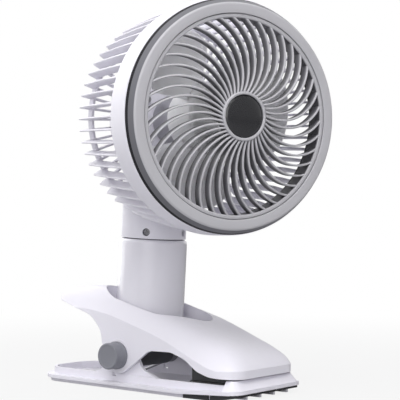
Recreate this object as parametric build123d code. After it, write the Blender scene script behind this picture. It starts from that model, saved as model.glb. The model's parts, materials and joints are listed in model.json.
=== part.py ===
from build123d import *
from math import acos, asin, atan2, cos, degrees, hypot, pi, radians, sin, sqrt
import os

# Clip fan. Millimetres, +Z up, the clamp's front towards -Y, origin on the surface the
# clamp stands on, straight below the middle of its pivot pin.

# ---------------------------------------------------------------- driving dimensions
# Clearances
RUN = 0.04                   # running fit on the radius of a shaft or pin
GAP = 0.3                    # between faces that move past each other
WALL = 2.2                   # general wall of the moulded shells

# Attitude at rest
PIVOT_Z = 22.5               # pivot pin above the surface
LEAN = 3.5                   # column leans forward
SWIVEL = -24.0               # head looks to the knob's side of straight ahead

# Lower jaw
LOWER_FRONT_Y = -102.5
LOWER_TAIL_Y = 80.5
LOWER_FRONT_HALF = 38.0      # half width of the lip across the front
LOWER_TAIL_HALF = 28.0
LOWER_KNEE_Y = -55.0         # plan starts to narrow behind this line
LOWER_FRONT_R = 9.0
LOWER_TAIL_R = 22.0
LIP_BOTTOM = 2.4
LIP_T = 2.4
LIP_RISE = 2.4               # upturn of the front lip
DECK_TOP = 9.6               # raised body on which the ears stand
DECK_INSET = 5.0
DECK_WALL = 2.0
PLATFORM_Y = -60.0           # solid gripping platform starts here
SILL_REAR_Y = -91.0          # raised sill between the pads and the lip
SILL_BASE = 6.0
SILL_DRAFT = 38.0
EAR_R = 14.5
EAR_T = 2.5
EAR_OUT = 28.1               # outer face of an ear from the middle plane
SLIT_W = 0.7
COVER_SCREW_XS = (-19.0, 19.0)
COVER_SCREW_YS = (-45.0, 58.0)
COVER_SCREW_GRIP = 2.0       # how far the screws reach into the jaw

# Upper jaw
UPPER_FRONT_Y = -99.5
UPPER_TAIL_Y = 63.5
UPPER_FRONT_HALF = 36.5
UPPER_TAIL_HALF = 27.6
UPPER_FRONT_R = 14.0
UPPER_TAIL_R = 21.0
UPPER_WALL = 2.4
RIM_TOP_Z = 18.4             # upper edge of the upright rim round the front
RIM_BOTTOM_Z = 13.0
RIM_REAR_Y = -84.0           # the rim's edge stays level ahead of this line
FLANK_DRAFT = 32.0           # lean of the flanks above the rim
# lower edge of the side walls, as (y, z): arch from the front to the pivot's lobe
ARCH = ((-80.0, 14.2), (-70.0, 17.2), (-60.0, 24.0), (-48.0, 27.6), (-28.0, 27.2), (-16.5, 19.0))
# and from the lobe up to the tail
TAIL_EDGE = ((15.0, 30.5), (16.2, 38.0), (25.5, 48.0), (75.0, 61.3))
LOBE_R = 12.0
LOBE_DROP = 9.0
BOSS_R = 10.7
BOSS_OUT = 31.5              # outer face of the knob boss
SLOT_REAR_Y = 30.0
SLOT_FRONT_Y = -49.5
SLOT_HALF = 24.6
COLLAR_T = 2.0
COLLAR_DEPTH = 8.5
SPRING_RIB_Z = 50.0          # lower edge of the rib on which the springs push
# y, half width, crown height and shoulder height at each station
JAW_STATIONS = (
    (75.0, 26.0, 59.5, 53.0),
    (55.0, 27.6, 65.0, 52.8),
    (32.0, 29.4, 66.6, 52.2),
    (12.0, 30.6, 64.4, 49.6),
    (-15.0, 31.6, 56.6, 42.6),
    (-45.0, 34.2, 47.4, 33.6),
    (-72.0, 36.0, 36.4, 22.4),
    (-86.0, 36.7, 30.0, 18.3),
    (-95.0, 36.8, 23.6, 17.6),
    (-101.5, 36.8, 15.5, 14.5),
)
SHOULDER = 0.76              # share of the half width where the shoulder rolls over
ROLL = 0.17                  # share of the crown's drop already used at that place
FLANK = 4.0                  # steepness of the flank at the shoulder's edge

# Grip pads and feet
PAD_HALF = 31.0
PAD_REAR_Y = -63.0
LOWER_PAD_T = 1.2
FOOT_COLS = 5
FOOT_ROWS = 2
FOOT_REAR_Y = -60.0
FOOT_RIB = 1.8               # moulded rib between two feet

# Pivot pin, springs and knob
PIN_R = 3.0
KNUCKLE_R = 9.4
KNUCKLE_HALF = 16.5
SPRING_R = 8.1               # wire centre line
WIRE_R = 0.9
SPRING_X0 = 17.7
SPRING_PITCH = 1.9
SPRING_LAP = 0.3             # how far the lower leg starts inside the coil
SPRING_FOOT_Y = 22.0
SPRING_TURNS = 3.5           # a half turn more, so that the ends lie opposite each other
KNOB_R = 8.7
KNOB_L = 10.2
KNOB_FLANGE_R = 9.2
KNOB_FLANGE_T = 2.6

# Column
COLUMN_R = 23.1
COLUMN_BOTTOM = 33.2
COLUMN_TOP = 100.2
COLUMN_EDGE_R = 2.6
COLUMN_PLATE_T = 2.7
FOOT_DISC_T = 3.0
SPIGOT_T = 2.6
SPIGOT_H = 3.0
FOOT_SCREW_YS = (-13.0, 13.0)
CRADLE_T = 1.6
CRADLE_POST_R = 2.4
CRADLE_POST_YS = (-12.6, 5.6)
CELL_Y = -3.5
CELL_R = 9.1
CELL_L = 50.0
BOARD_Y = 12.0
BOARD_T = 1.6
BOARD_HALF = 13.5
USB_Z = 55.0
USB_W = 9.0
USB_H = 3.2
SWITCH_H = 4.3
BUTTON_Z = 76.0
BUTTON_R = 5.0
BUTTON_OUT = 1.0
BUTTON_TRAVEL = 0.6

# Neck and head housing
NECK_R = 22.1
NECK_GAP = 0.5
POST_R = 12.0
POST_BORE_R = 8.0
POST_FLANGE_R = 19.8
POST_FLANGE_T = 7.8
CLIP_T = 1.6
CLIP_SEAT = 1.0
LEDGE = 2.0
HEAD_Z = 180.4
HOUSING_R = 30.0
HOUSING_FRONT = 23.0         # distances along the head's axis from the column's axis
HOUSING_REAR = -25.0
HOUSING_EDGE_R = 11.0
NECK_SCREW_ANGLE = 39.5
NECK_SCREW_RISE = 4.4
NECK_SCREW_L = 6.0
HOUSING_SCREW_R = 14.0
HOUSING_SCREW_END = 9.0
BOSS_POST_R = 3.4

# Head
FACE_S = 109.0
FACE_R = 68.7
FACE_INNER_R = 62.3
SEAM_S = 102.3
SEAM_R = 72.4
BAND_REAR_S = 84.4
BAND_REAR_R = 73.2
BAND_T = 2.0
SPIGOT_RISE = 3.0            # spigot of the band inside the flared front ring
SEAM_GROOVE = 0.6            # width and depth of the groove between the two
TIP_R = 68.6                   # rear corners of the fins
TIP_CUT = 0.5
FIN_COUNT = 57
FIN_T = 1.5
FIN_DEPTH = 6.5
HOOP_R = 62.0
HOOP_T = 1.5
HOOP_W = 7.0
CAGE_BACK_GAP = 0.7          # between the cage's rear and the front of the neck
CAGE_DISC_R = 33.0
CAGE_DISC_T = 2.5
CAGE_SCREW_R = 25.0
GRILLE_RIM_T = 2.4
GRILLE_RIM_SET = 0.5         # rim of the grille behind the ring's face
GRILLE_SEAT_S = 97.0
RIB_COUNT = 42
RIB_T = 1.3
RIB_DEPTH = 8.5
RIB_HUB_HEADING = -30.0      # heading of a rib off the radius at the hub
RIB_RIM_HEADING = 48.0
GRILLE_CROWN = 7.5
HUB_RING_R = 14.8
HUB_RING_T = 1.8

# Motor and impeller
SHAFT_R = 1.5
MOTOR_R = 17.5
MOTOR_L = 35.0
MOTOR_T = 1.2
MOTOR_S = HOUSING_FRONT + CAGE_DISC_T
MOTOR_SCREW_R = 10.0
MAGNET_T = 2.0
BEARING_R = 3.5
BEARING_BOSS_R = 5.0
BLADE_COUNT = 3
BLADE_START = 9.0            # where the first blade rests
BLADE_TIP_R = 57.0
BLADE_T = 1.6
BLADE_S = 73.0               # middle of the blades along the axis
HUB_R = 22.5
HUB_FRONT_S = 89.0
HUB_REAR_S = 57.5
HUB_T = 2.0
HUB_BOSS_R = 5.0
HUB_BOSS_L = 14.0
# corners of a blade seen from the front: share of the tip's radius, angle
PETAL = ((0.34, -30), (0.82, -42), (1.06, -26), (1.1, 20), (0.92, 38), (0.34, 27))
BLADE_SPREAD = 1.05
BLADE_RISE = 25.0
BLADE_CAMBER = 2.5
SCREW_R = 1.25
SCREW_HEAD_R = 2.3
SCREW_HEAD_T = 1.5

# ---------------------------------------------------------------- places and helpers
PIVOT = Pos(0, 0, PIVOT_Z)
LEANED = PIVOT * Rot(LEAN, 0, 0) * PIVOT.inverse()
TURNED = LEANED * Rot(0, 0, SWIVEL)
AXIS_LOCAL = Plane(origin=(0, 0, HEAD_Z), x_dir=(1, 0, 0), z_dir=(0, -1, 0)).location
AXIAL = TURNED * AXIS_LOCAL
REAR = Plane(origin=(0, 0, 0), x_dir=(-1, 0, 0), z_dir=(0, 1, 0)).location


def outline(points, radii):
    """Closed face with its corners rounded."""
    return make_face(FilletPolyline(*points, radius=radii, close=True))


def side_plate(points, radii, half):
    """A (y, z) profile carried to both sides of the middle plane."""
    return extrude(Plane.YZ * outline(points, radii), amount=half, both=True)


def turned(points, radii=0):
    """A (radius, height) profile revolved about Z."""
    return revolve(Plane.XZ * outline(points, radii), Axis.Z)


def tube(outer, inner, low, high):
    return Pos(0, 0, low) * extrude(Circle(outer) - Circle(inner), high - low)


def rod(radius, low, high):
    return Pos(0, 0, low) * extrude(Circle(radius), high - low)


def cross_rod(radius, x0, x1):
    """Cylinder about the pivot axis."""
    return Pos(x0, 0, PIVOT_Z) * Rot(0, 90, 0) * extrude(Circle(radius), x1 - x0)


def block(x0, x1, y0, y1, z0, z1):
    return Pos((x0 + x1) / 2, (y0 + y1) / 2, (z0 + z1) / 2) * Box(x1 - x0, y1 - y0, z1 - z0)


def mirrored(solid):
    return solid.mirror(Plane.YZ)


def group(solids):
    """Separate pieces that share one node."""
    return Compound(children=list(solids))


def screw(length):
    """Pan head at the origin's upper side, shank towards -Z."""
    return rod(SCREW_HEAD_R, 0, SCREW_HEAD_T) + rod(SCREW_R, -length, 0)


# ---------------------------------------------------------------- lower jaw
def lower_plan(inset=0.0):
    points = [
        (-LOWER_FRONT_HALF, LOWER_FRONT_Y),
        (LOWER_FRONT_HALF, LOWER_FRONT_Y),
        (LOWER_FRONT_HALF, LOWER_KNEE_Y),
        (LOWER_TAIL_HALF, LOWER_TAIL_Y),
        (-LOWER_TAIL_HALF, LOWER_TAIL_Y),
        (-LOWER_FRONT_HALF, LOWER_KNEE_Y),
    ]
    face = outline(points, [LOWER_FRONT_R, LOWER_FRONT_R, 60, LOWER_TAIL_R, LOWER_TAIL_R, 60])
    return offset(face, -inset) if inset else face


def lip_band(low, high):
    """Slab between two heights, both turned up towards the front."""
    front = LOWER_FRONT_Y - 5
    tail = LOWER_TAIL_Y + 5
    points = [
        (tail, low),
        (tail, high),
        (LOWER_KNEE_Y, high),
        (front, high + LIP_RISE),
        (front, low + LIP_RISE),
        (LOWER_KNEE_Y, low),
    ]
    return side_plate(points, [0, 0, 60, 0, 0, 60], LOWER_FRONT_HALF + 5)


def front_sill():
    """Raised sill that closes the front below the upper jaw's rim and slopes out to the lip."""
    height = RIM_BOTTOM_Z - 2 * GAP - SILL_BASE
    sill = Pos(0, 0, SILL_BASE) * extrude(lower_plan(0.6), height, taper=SILL_DRAFT)
    return sill & block(-99, 99, LOWER_FRONT_Y - 1, SILL_REAR_Y, 0, 99)


def ear_profile():
    floor_z = LIP_BOTTOM + LIP_T
    return [
        (-EAR_R - 21, floor_z),
        (-EAR_R - 19, DECK_TOP - 1),
        (-EAR_R - 4, DECK_TOP + 4.5),
        (-EAR_R, PIVOT_Z),
        (EAR_R, PIVOT_Z),
        (EAR_R + 1, DECK_TOP + 3),
        (EAR_R + 10, DECK_TOP),
        (EAR_R + 12, floor_z),
    ]


def lower_jaw():
    lip = lip_band(LIP_BOTTOM, LIP_BOTTOM + LIP_T) & extrude(lower_plan(), DECK_TOP)
    deck = extrude(lower_plan(DECK_INSET), DECK_TOP) - lip_band(-DECK_TOP, LIP_BOTTOM + LIP_T / 2)
    well_plan = lower_plan(DECK_INSET + DECK_WALL) & Pos(0, PLATFORM_Y + 100) * Rectangle(200, 200)
    well = Pos(0, 0, LIP_BOTTOM + LIP_T) * extrude(well_plan, DECK_TOP)
    body = lip + (deck - well)
    body += front_sill()
    ear = side_plate(ear_profile(), [0, 0, 8, 0, 0, 6, 0, 0], EAR_OUT)
    ear += cross_rod(EAR_R, -EAR_OUT, EAR_OUT)
    ear -= block(-EAR_OUT + EAR_T, EAR_OUT - EAR_T, -99, 99, 0, 99)
    body += ear
    slit_y = EAR_R * 0.45
    slit = block(-99, 99, slit_y, slit_y + SLIT_W, DECK_TOP - 1, PIVOT_Z - EAR_R / 2)
    slit += block(-99, 99, slit_y - 3, slit_y + SLIT_W, DECK_TOP - 1.6, DECK_TOP - 0.6)
    slit -= block(-EAR_OUT + EAR_T + GAP, EAR_OUT - EAR_T - GAP, -99, 99, 0, 99)
    body -= slit
    body -= cross_rod(PIN_R + RUN, -99, 99)
    for x, y in cover_screw_places():
        body -= Pos(x, y, 0) * rod(SCREW_R + RUN, 0, LIP_BOTTOM + COVER_SCREW_GRIP + 0.1)
    for rib in foot_ribs():
        body += rib
    return body


def foot_cells():
    """Rectangles of the feet as (x, y, width, length)."""
    across = 2 * (LOWER_FRONT_HALF - 1.5)
    along = FOOT_REAR_Y - LOWER_FRONT_Y - 1.5
    width = (across - (FOOT_COLS - 1) * FOOT_RIB) / FOOT_COLS
    length = (along - (FOOT_ROWS - 1) * FOOT_RIB) / FOOT_ROWS
    cells = []
    for column in range(FOOT_COLS):
        for row in range(FOOT_ROWS):
            x = -across / 2 + width / 2 + column * (width + FOOT_RIB)
            y = FOOT_REAR_Y - length / 2 - row * (length + FOOT_RIB)
            cells.append((x, y, width, length))
    return cells


def foot_ribs():
    """Low ribs between the rubber feet, on the underside of the lip."""
    plan = extrude(lower_plan(3), DECK_TOP)
    ribs = block(-99, 99, LOWER_FRONT_Y, FOOT_REAR_Y, 0.6, LIP_BOTTOM + LIP_T)
    ribs &= plan
    ribs -= lip_band(LIP_BOTTOM + LIP_T / 2, DECK_TOP)
    for x, y, width, length in foot_cells():
        ribs -= Pos(x, y, 0) * Box(width, length, 50)
    return ribs.solids()


def feet():
    """Rubber feet that fill the fields between the ribs."""
    under = extrude(lower_plan(1), DECK_TOP) - lip_band(LIP_BOTTOM, 60)
    toe = side_plate(
        [
            (FOOT_REAR_Y + 5, 0),
            (FOOT_REAR_Y + 5, 20),
            (LOWER_FRONT_Y - 5, 20),
            (LOWER_FRONT_Y - 5, 4),
            (LOWER_FRONT_Y + 18, 0),
        ],
        [0, 0, 0, 0, 40],
        99,
    )
    under &= toe
    pads = []
    for x, y, width, length in foot_cells():
        pads += (under & Pos(x, y, 0) * Box(width, length, 50)).solids()
    return group(pads)


def lower_cover():
    """Closing plate under the tail, inset from the lip, with four screw recesses."""
    plan = lower_plan(2.5) & Pos(0, FOOT_REAR_Y + 101) * Rectangle(200, 200)
    plate = extrude(plan, LIP_BOTTOM)
    for x, y in cover_screw_places():
        plate -= Pos(x, y, 0) * rod(SCREW_HEAD_R + GAP, -1, SCREW_HEAD_T)
        plate -= Pos(x, y, 0) * rod(SCREW_R + RUN, -1, LIP_BOTTOM + 1)
    return plate


def cover_screw_places():
    return [(x, y) for x in COVER_SCREW_XS for y in COVER_SCREW_YS]


def cover_screws():
    return group(
        Pos(x, y, SCREW_HEAD_T) * Rot(180, 0, 0) * screw(LIP_BOTTOM + COVER_SCREW_GRIP - SCREW_HEAD_T)
        for x, y in cover_screw_places()
    )


# ---------------------------------------------------------------- upper jaw
def crown(shrink=0.0):
    """Loft through the stations: flat-topped, with rolled shoulders."""
    faces = []
    for y, half, top, shoulder in JAW_STATIONS:
        half = half - shrink
        top = top - shrink
        shoulder = shoulder - shrink
        roll = top - ROLL * (top - shoulder)
        slope = FLANK * (top - shoulder) / half
        base = -10.0
        over = Spline(
            (-half, shoulder),
            (-SHOULDER * half, roll),
            (0, top),
            (SHOULDER * half, roll),
            (half, shoulder),
            tangents=[(1, slope), (1, -slope)],
        )
        frame = Polyline((half, shoulder), (half, base), (-half, base), (-half, shoulder))
        station = Plane(origin=(0, y, 0), x_dir=(1, 0, 0), z_dir=(0, -1, 0))
        faces.append(station * make_face([over, *frame.edges()]))
    return loft(faces)


def upper_plan(inset=0.0):
    points = [
        (-UPPER_FRONT_HALF, UPPER_FRONT_Y),
        (UPPER_FRONT_HALF, UPPER_FRONT_Y),
        (UPPER_FRONT_HALF, UPPER_TAIL_Y - 30),
        (UPPER_TAIL_HALF, UPPER_TAIL_Y),
        (-UPPER_TAIL_HALF, UPPER_TAIL_Y),
        (-UPPER_FRONT_HALF, UPPER_TAIL_Y - 30),
    ]
    front = UPPER_FRONT_R
    face = outline(points, [front, front, 0, UPPER_TAIL_R, UPPER_TAIL_R, 0])
    return offset(face, -inset) if inset else face


def upper_side():
    """Side view of the upper jaw; its top is left high, the crown trims it."""
    front = [(UPPER_FRONT_Y - 5, 90.0), (UPPER_FRONT_Y - 5, RIM_BOTTOM_Z)]
    lobe = [(-8.0, PIVOT_Z - LOBE_DROP), (8.0, PIVOT_Z - LOBE_DROP)]
    top = [(TAIL_EDGE[-1][0], 90.0)]
    radii = [0, 0, 30, 14, 16, 12, 12, 0, 0, 0, 0, 12, 22, 0, 0]
    plate = side_plate([*front, *ARCH, *lobe, *TAIL_EDGE, *top], radii, UPPER_FRONT_HALF + 5)
    return plate + cross_rod(LOBE_R, -UPPER_FRONT_HALF - 5, UPPER_FRONT_HALF + 5)


def above_rim():
    """What the leaning flanks take away above the level rim round the front."""
    height = UPPER_FRONT_R - 0.5
    flanks = Pos(0, 0, RIM_TOP_Z) * extrude(upper_plan(), height, taper=FLANK_DRAFT)
    space = block(-99, 99, UPPER_FRONT_Y - 20, RIM_REAR_Y, RIM_TOP_Z, RIM_TOP_Z + height)
    return space - flanks


def upper_cavity():
    """Hollow of the upper jaw: open below, with a floor left behind the rim."""
    t = UPPER_WALL
    rise = RIM_TOP_Z + t
    lean = UPPER_FRONT_Y + 2 * t
    crest = 12.0
    points = [
        (UPPER_TAIL_Y, 90.0),
        (lean + crest, 90.0),
        (lean + crest, rise + crest * 0.8),
        (lean, rise - t),
        (ARCH[0][0], ARCH[0][1] + t),
        (ARCH[1][0], ARCH[1][1] + t),
        (ARCH[2][0] - t, ARCH[2][1] + t / 2),
        (ARCH[2][0], -9.0),
        (UPPER_TAIL_Y, -9.0),
    ]
    plate = side_plate(points, 0, UPPER_FRONT_HALF + 5)
    return plate & crown(t) & Pos(0, 0, -9) * extrude(upper_plan(t), 99)


def slot_plan(grow=0.0):
    length = SLOT_REAR_Y - SLOT_FRONT_Y
    face = Pos(0, (SLOT_REAR_Y + SLOT_FRONT_Y) / 2) * SlotOverall(
        length + 2 * grow, 2 * (SLOT_HALF + grow), rotation=90
    )
    return extrude(face, 99)


def upper_jaw():
    skin = crown()
    outer = upper_side() & skin & Pos(0, 0, -9) * extrude(upper_plan(), 110)
    outer -= above_rim()
    body = outer - upper_cavity()
    collar = (slot_plan(COLLAR_T) & outer) - Pos(0, 0, -UPPER_WALL - COLLAR_DEPTH) * skin
    rib_y = SLOT_REAR_Y + COLLAR_T
    rib = block(-99, 99, rib_y, rib_y + COLLAR_T, SPRING_RIB_Z, 99) & outer
    body += collar + rib
    boss = cross_rod(BOSS_R, EAR_OUT + GAP, BOSS_OUT)
    body += boss + mirrored(boss)
    body -= slot_plan()
    body -= cross_rod(PIN_R + RUN, -99, 99)
    return body


def upper_pad():
    """Rubber under the upper jaw's floor, behind the sill."""
    bottom = DECK_TOP + LOWER_PAD_T + GAP
    pad = block(-PAD_HALF, PAD_HALF, SILL_REAR_Y + 2 * GAP, PAD_REAR_Y, bottom, PIVOT_Z + 5)
    return (pad - upper_side()) & under_arch()


def under_arch():
    """Space under the arch's front, so that the pad ends against the floor."""
    points = [(y, z + 0.5) for y, z in [(UPPER_FRONT_Y, RIM_BOTTOM_Z), *ARCH[:3]]]
    return side_plate([(UPPER_FRONT_Y, 0.0), *points, (ARCH[2][0], 0.0)], 0, 99)


def lower_pad():
    front = SILL_REAR_Y + 2 * GAP
    return block(-PAD_HALF, PAD_HALF, front, PAD_REAR_Y + 2, DECK_TOP, DECK_TOP + LOWER_PAD_T)


# ---------------------------------------------------------------- pivot
def pivot_pin():
    pin = cross_rod(PIN_R, -BOSS_OUT - KNOB_L + 2.5, BOSS_OUT + 0.4)
    return pin


def pivot_cap():
    """Domed head on the side away from the knob."""
    height = 3.2
    cap = turned(
        [(0, 0), (KNOB_R - 1, 0), (KNOB_R - 1, height - 1.4), (KNOB_R - 3, height), (0, height)],
        [0, 0, 1.2, 1.2, 0],
    )
    cap -= rod(PIN_R + RUN, -1, 0.8)
    return Pos(BOSS_OUT, 0, PIVOT_Z) * Rot(0, 90, 0) * cap


def tilt_knob():
    """Round clamping knob with a flange and a groove, threaded onto the pin."""
    groove = KNOB_FLANGE_T + 0.9
    knob = turned(
        [
            (0, 0),
            (KNOB_FLANGE_R, 0),
            (KNOB_FLANGE_R, KNOB_FLANGE_T),
            (KNOB_R - 0.5, KNOB_FLANGE_T),
            (KNOB_R - 0.5, groove),
            (KNOB_R, groove),
            (KNOB_R, KNOB_L),
            (0, KNOB_L),
        ],
        [0, 0.5, 0.3, 0, 0, 0.2, 1.1, 0],
    )
    knob -= rod(PIN_R + RUN, -1, KNOB_L - 2.2)
    return Pos(-BOSS_OUT, 0, PIVOT_Z) * Rot(0, -90, 0) * knob


def strut(a, b, radius):
    """Round bar between two points, with rounded ends."""
    a, b = Vector(a), Vector(b)
    bar = Plane(a, z_dir=b - a).location * extrude(Circle(radius), (b - a).length)
    return bar + Pos(*a) * Sphere(radius) + Pos(*b) * Sphere(radius)


def torsion_spring():
    """Coil round the pin, one leg down on the floor and one up under the rib."""
    coil_path = Helix(SPRING_PITCH, SPRING_PITCH * SPRING_TURNS, SPRING_R)
    start = Plane(coil_path @ 0, z_dir=coil_path % 0)
    coil = sweep(start * Circle(WIRE_R), path=coil_path, is_frenet=True)
    coil = Pos(SPRING_X0, 0, PIVOT_Z) * Rot(0, 90, 0) * coil
    end_x = SPRING_X0 + SPRING_PITCH * SPRING_TURNS
    floor_z = LIP_BOTTOM + LIP_T + WIRE_R
    low = strut((SPRING_X0, -SPRING_LAP, PIVOT_Z - SPRING_R), (SPRING_X0, SPRING_FOOT_Y, floor_z), WIRE_R)
    rib_y = SLOT_REAR_Y + 1.5 * COLLAR_T
    high = strut((end_x, 0, PIVOT_Z + SPRING_R), (end_x, rib_y, SPRING_RIB_Z - WIRE_R), WIRE_R)
    return coil + low + high


def torsion_springs():
    spring = torsion_spring()
    return group([spring, mirrored(spring)])


# ---------------------------------------------------------------- column (upright)
def column_shell():
    rim = COLUMN_BOTTOM + FOOT_DISC_T
    plate_z = COLUMN_TOP - COLUMN_PLATE_T
    shell = turned(
        [
            (POST_R + RUN, COLUMN_TOP),
            (COLUMN_R, COLUMN_TOP),
            (COLUMN_R, rim),
            (COLUMN_R - WALL, rim),
            (COLUMN_R - WALL, plate_z),
            (POST_R + RUN, plate_z),
        ],
        [0, COLUMN_EDGE_R, 0, 0, 0, 0],
    )
    port = RectangleRounded(USB_W + 2 * GAP, USB_H + 2 * GAP, USB_H / 2)
    shell -= REAR * Pos(0, USB_Z, COLUMN_R - WALL * 2) * extrude(port, 99)
    shell -= REAR * Pos(0, BUTTON_Z, COLUMN_R - WALL * 2) * extrude(Circle(BUTTON_R + 0.15), 99)
    return shell


def column_foot():
    """Bottom closure with the knuckle that turns on the pivot pin."""
    rim = COLUMN_BOTTOM + FOOT_DISC_T
    spigot_r = COLUMN_R - WALL - RUN
    foot = rod(COLUMN_R, COLUMN_BOTTOM, rim)
    foot += tube(spigot_r, spigot_r - SPIGOT_T, rim, rim + SPIGOT_H)
    foot += cross_rod(KNUCKLE_R, -KNUCKLE_HALF, KNUCKLE_HALF)
    web = KNUCKLE_R * 0.8
    foot += block(-KNUCKLE_HALF, KNUCKLE_HALF, -web, web, PIVOT_Z, COLUMN_BOTTOM)
    foot -= cross_rod(PIN_R + RUN, -99, 99)
    for y in FOOT_SCREW_YS:
        foot -= Pos(0, y, 0) * rod(SCREW_R + RUN, COLUMN_BOTTOM - 1, rim + 1)
    return foot


def foot_screws():
    return group(
        Pos(0, y, COLUMN_BOTTOM) * Rot(180, 0, 0) * screw(FOOT_DISC_T + 2.0)
        for y in FOOT_SCREW_YS
    )


def battery_cradle():
    """Two end discs joined by posts that stand beside the cells."""
    low = COLUMN_BOTTOM + FOOT_DISC_T
    floor_z = low + SPIGOT_H
    top = floor_z + CELL_L + GAP
    cradle = rod(COLUMN_R - WALL - SPIGOT_T - 2 * RUN, low, floor_z)
    cradle += rod(COLUMN_R - WALL - 2 * GAP, top, top + CRADLE_T)
    for y in CRADLE_POST_YS:
        cradle += Pos(0, y, 0) * rod(CRADLE_POST_R, floor_z, top)
    for y in FOOT_SCREW_YS:
        cradle -= Pos(0, y, 0) * rod(SCREW_R + RUN, low - 1, low + 2.2)
    return cradle


def battery_cells():
    low = COLUMN_BOTTOM + FOOT_DISC_T + SPIGOT_H
    cell = turned(
        [(0, 0), (CELL_R, 0), (CELL_R, CELL_L), (CELL_R * 0.35, CELL_L - 0.6), (0, CELL_L - 0.6)],
        [0, 0.5, 1.0, 0, 0],
    )
    return group(Pos(side * (CELL_R + 0.2), CELL_Y, low) * cell for side in (-1, 1))


def charge_board():
    low = COLUMN_BOTTOM + FOOT_DISC_T + SPIGOT_H
    high = low + CELL_L + GAP
    return block(-BOARD_HALF, BOARD_HALF, BOARD_Y, BOARD_Y + BOARD_T, low, high)


def usb_socket():
    """Flat-sided metal shell with its tongue, soldered to the board."""
    depth = COLUMN_R - 0.4 - BOARD_Y - BOARD_T
    shell = extrude(RectangleRounded(USB_W, USB_H, USB_H / 2 - 0.05), depth)
    mouth = extrude(RectangleRounded(USB_W - 0.7, USB_H - 0.7, USB_H / 2 - 0.4), depth)
    shell -= Pos(0, 0, 2.0) * mouth
    shell += Pos(0, 0, depth / 2 - 0.5) * Box(USB_W * 0.7, 0.7, depth - 1.0)
    return REAR * Pos(0, USB_Z, BOARD_Y + BOARD_T) * shell


def tact_switch():
    switch = Pos(0, 0, 1.7) * Box(6, 6, 3.4)
    switch += rod(1.7, 3.4, SWITCH_H)
    return REAR * Pos(0, BUTTON_Z, BOARD_Y + BOARD_T) * switch


def power_button():
    """Domed cap in the rear wall with a flange that keeps it in."""
    inner = BOARD_Y + BOARD_T + SWITCH_H + BUTTON_TRAVEL + 0.1
    outer = COLUMN_R + BUTTON_OUT
    button = turned(
        [
            (0, inner),
            (BUTTON_R + 1.2, inner),
            (BUTTON_R + 1.2, inner + 1.0),
            (BUTTON_R, inner + 1.0),
            (BUTTON_R, outer),
            (0, outer),
        ],
        [0, 0, 0, 0, 0.8, 0],
    )
    return REAR * Pos(0, BUTTON_Z, 0) * button


def swivel_clip():
    plate_z = COLUMN_TOP - COLUMN_PLATE_T
    ring = tube(POST_R + 3.0, POST_R - CLIP_SEAT + RUN, plate_z - GAP - CLIP_T, plate_z - GAP)
    return ring - block(-2.5, 2.5, 0, 99, 0, 200)


# ---------------------------------------------------------------- neck and housing
def neck_screw_places():
    """Locations of the radial neck screws: +Z points out of the neck."""
    height = COLUMN_TOP + NECK_GAP + NECK_SCREW_RISE
    front = Plane(origin=(0, 0, height), z_dir=(0, -1, 0)).location
    angles = (-NECK_SCREW_ANGLE, NECK_SCREW_ANGLE)
    return [Rot(0, 0, angle) * front * Pos(0, 0, POST_FLANGE_R - SCREW_HEAD_T) for angle in angles]


def swivel_post():
    """Hollow post that turns in the column's top, with a flange inside the neck."""
    plate_z = COLUMN_TOP - COLUMN_PLATE_T
    post = tube(POST_R, POST_BORE_R, plate_z - GAP - CLIP_T - 2.0, COLUMN_TOP)
    post += tube(POST_FLANGE_R, POST_BORE_R, COLUMN_TOP, COLUMN_TOP + POST_FLANGE_T)
    post -= tube(POST_R + 9, POST_R - CLIP_SEAT, plate_z - GAP - CLIP_T, plate_z - GAP)
    for place in neck_screw_places():
        post -= place * rod(SCREW_HEAD_R + GAP, 0, 9)
        post -= place * rod(SCREW_R + RUN, -NECK_SCREW_L, 1)
    return post


def neck_screws():
    return group(place * screw(NECK_SCREW_L) for place in neck_screw_places())


def housing_form(shrink, floor_z):
    """Neck and motor housing as one form, on the head's own axis."""
    form = rod(NECK_R - shrink, floor_z, HEAD_Z)
    edge = max(HOUSING_EDGE_R - shrink, 1.0)
    barrel = turned(
        [
            (0, HOUSING_REAR + shrink),
            (HOUSING_R - shrink, HOUSING_REAR + shrink),
            (HOUSING_R - shrink, HOUSING_FRONT - shrink),
            (0, HOUSING_FRONT - shrink),
        ],
        [0, edge, 0, 0],
    )
    return form + AXIS_LOCAL * barrel


def housing_screw_angles():
    return [90.0, 210.0, 330.0]


def housing():
    """Whole shell with its screw bosses, before it is parted in two."""
    neck_bottom = COLUMN_TOP + NECK_GAP
    flange_top = COLUMN_TOP + POST_FLANGE_T
    shell = housing_form(0, neck_bottom) - housing_form(WALL, neck_bottom - 1)
    ledge = tube(NECK_R - WALL / 2, NECK_R - WALL - LEDGE, flange_top, flange_top + LEDGE)
    shell += ledge
    for angle in housing_screw_angles():
        spoke = AXIS_LOCAL * Rot(0, 0, angle) * Pos(HOUSING_SCREW_R, 0, 0)
        shell += spoke * rod(BOSS_POST_R, HOUSING_REAR + WALL / 2, HOUSING_FRONT - WALL / 2)
        shell -= spoke * rod(SCREW_R + RUN, HOUSING_REAR - 1, HOUSING_SCREW_END + GAP)
        shell -= spoke * rod(SCREW_HEAD_R + GAP, HOUSING_REAR - 1, HOUSING_REAR + 3.0)
    for place in neck_screw_places():
        shell -= place * rod(SCREW_HEAD_R + GAP, 0, 9)
    shell -= AXIS_LOCAL * rod(BEARING_BOSS_R + GAP, HOUSING_FRONT - 2 * WALL, HOUSING_FRONT + 1)
    for place in cage_screw_places() + motor_screw_places():
        shell -= AXIS_LOCAL * place * rod(SCREW_R + RUN, HOUSING_FRONT - 2 * WALL, HOUSING_FRONT + 1)
    return shell


def neck_front():
    return housing() & block(-99, 99, -99, 0, 0, 400)


def neck_rear():
    return housing() & block(-99, 99, 0, 99, 0, 400)


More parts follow.
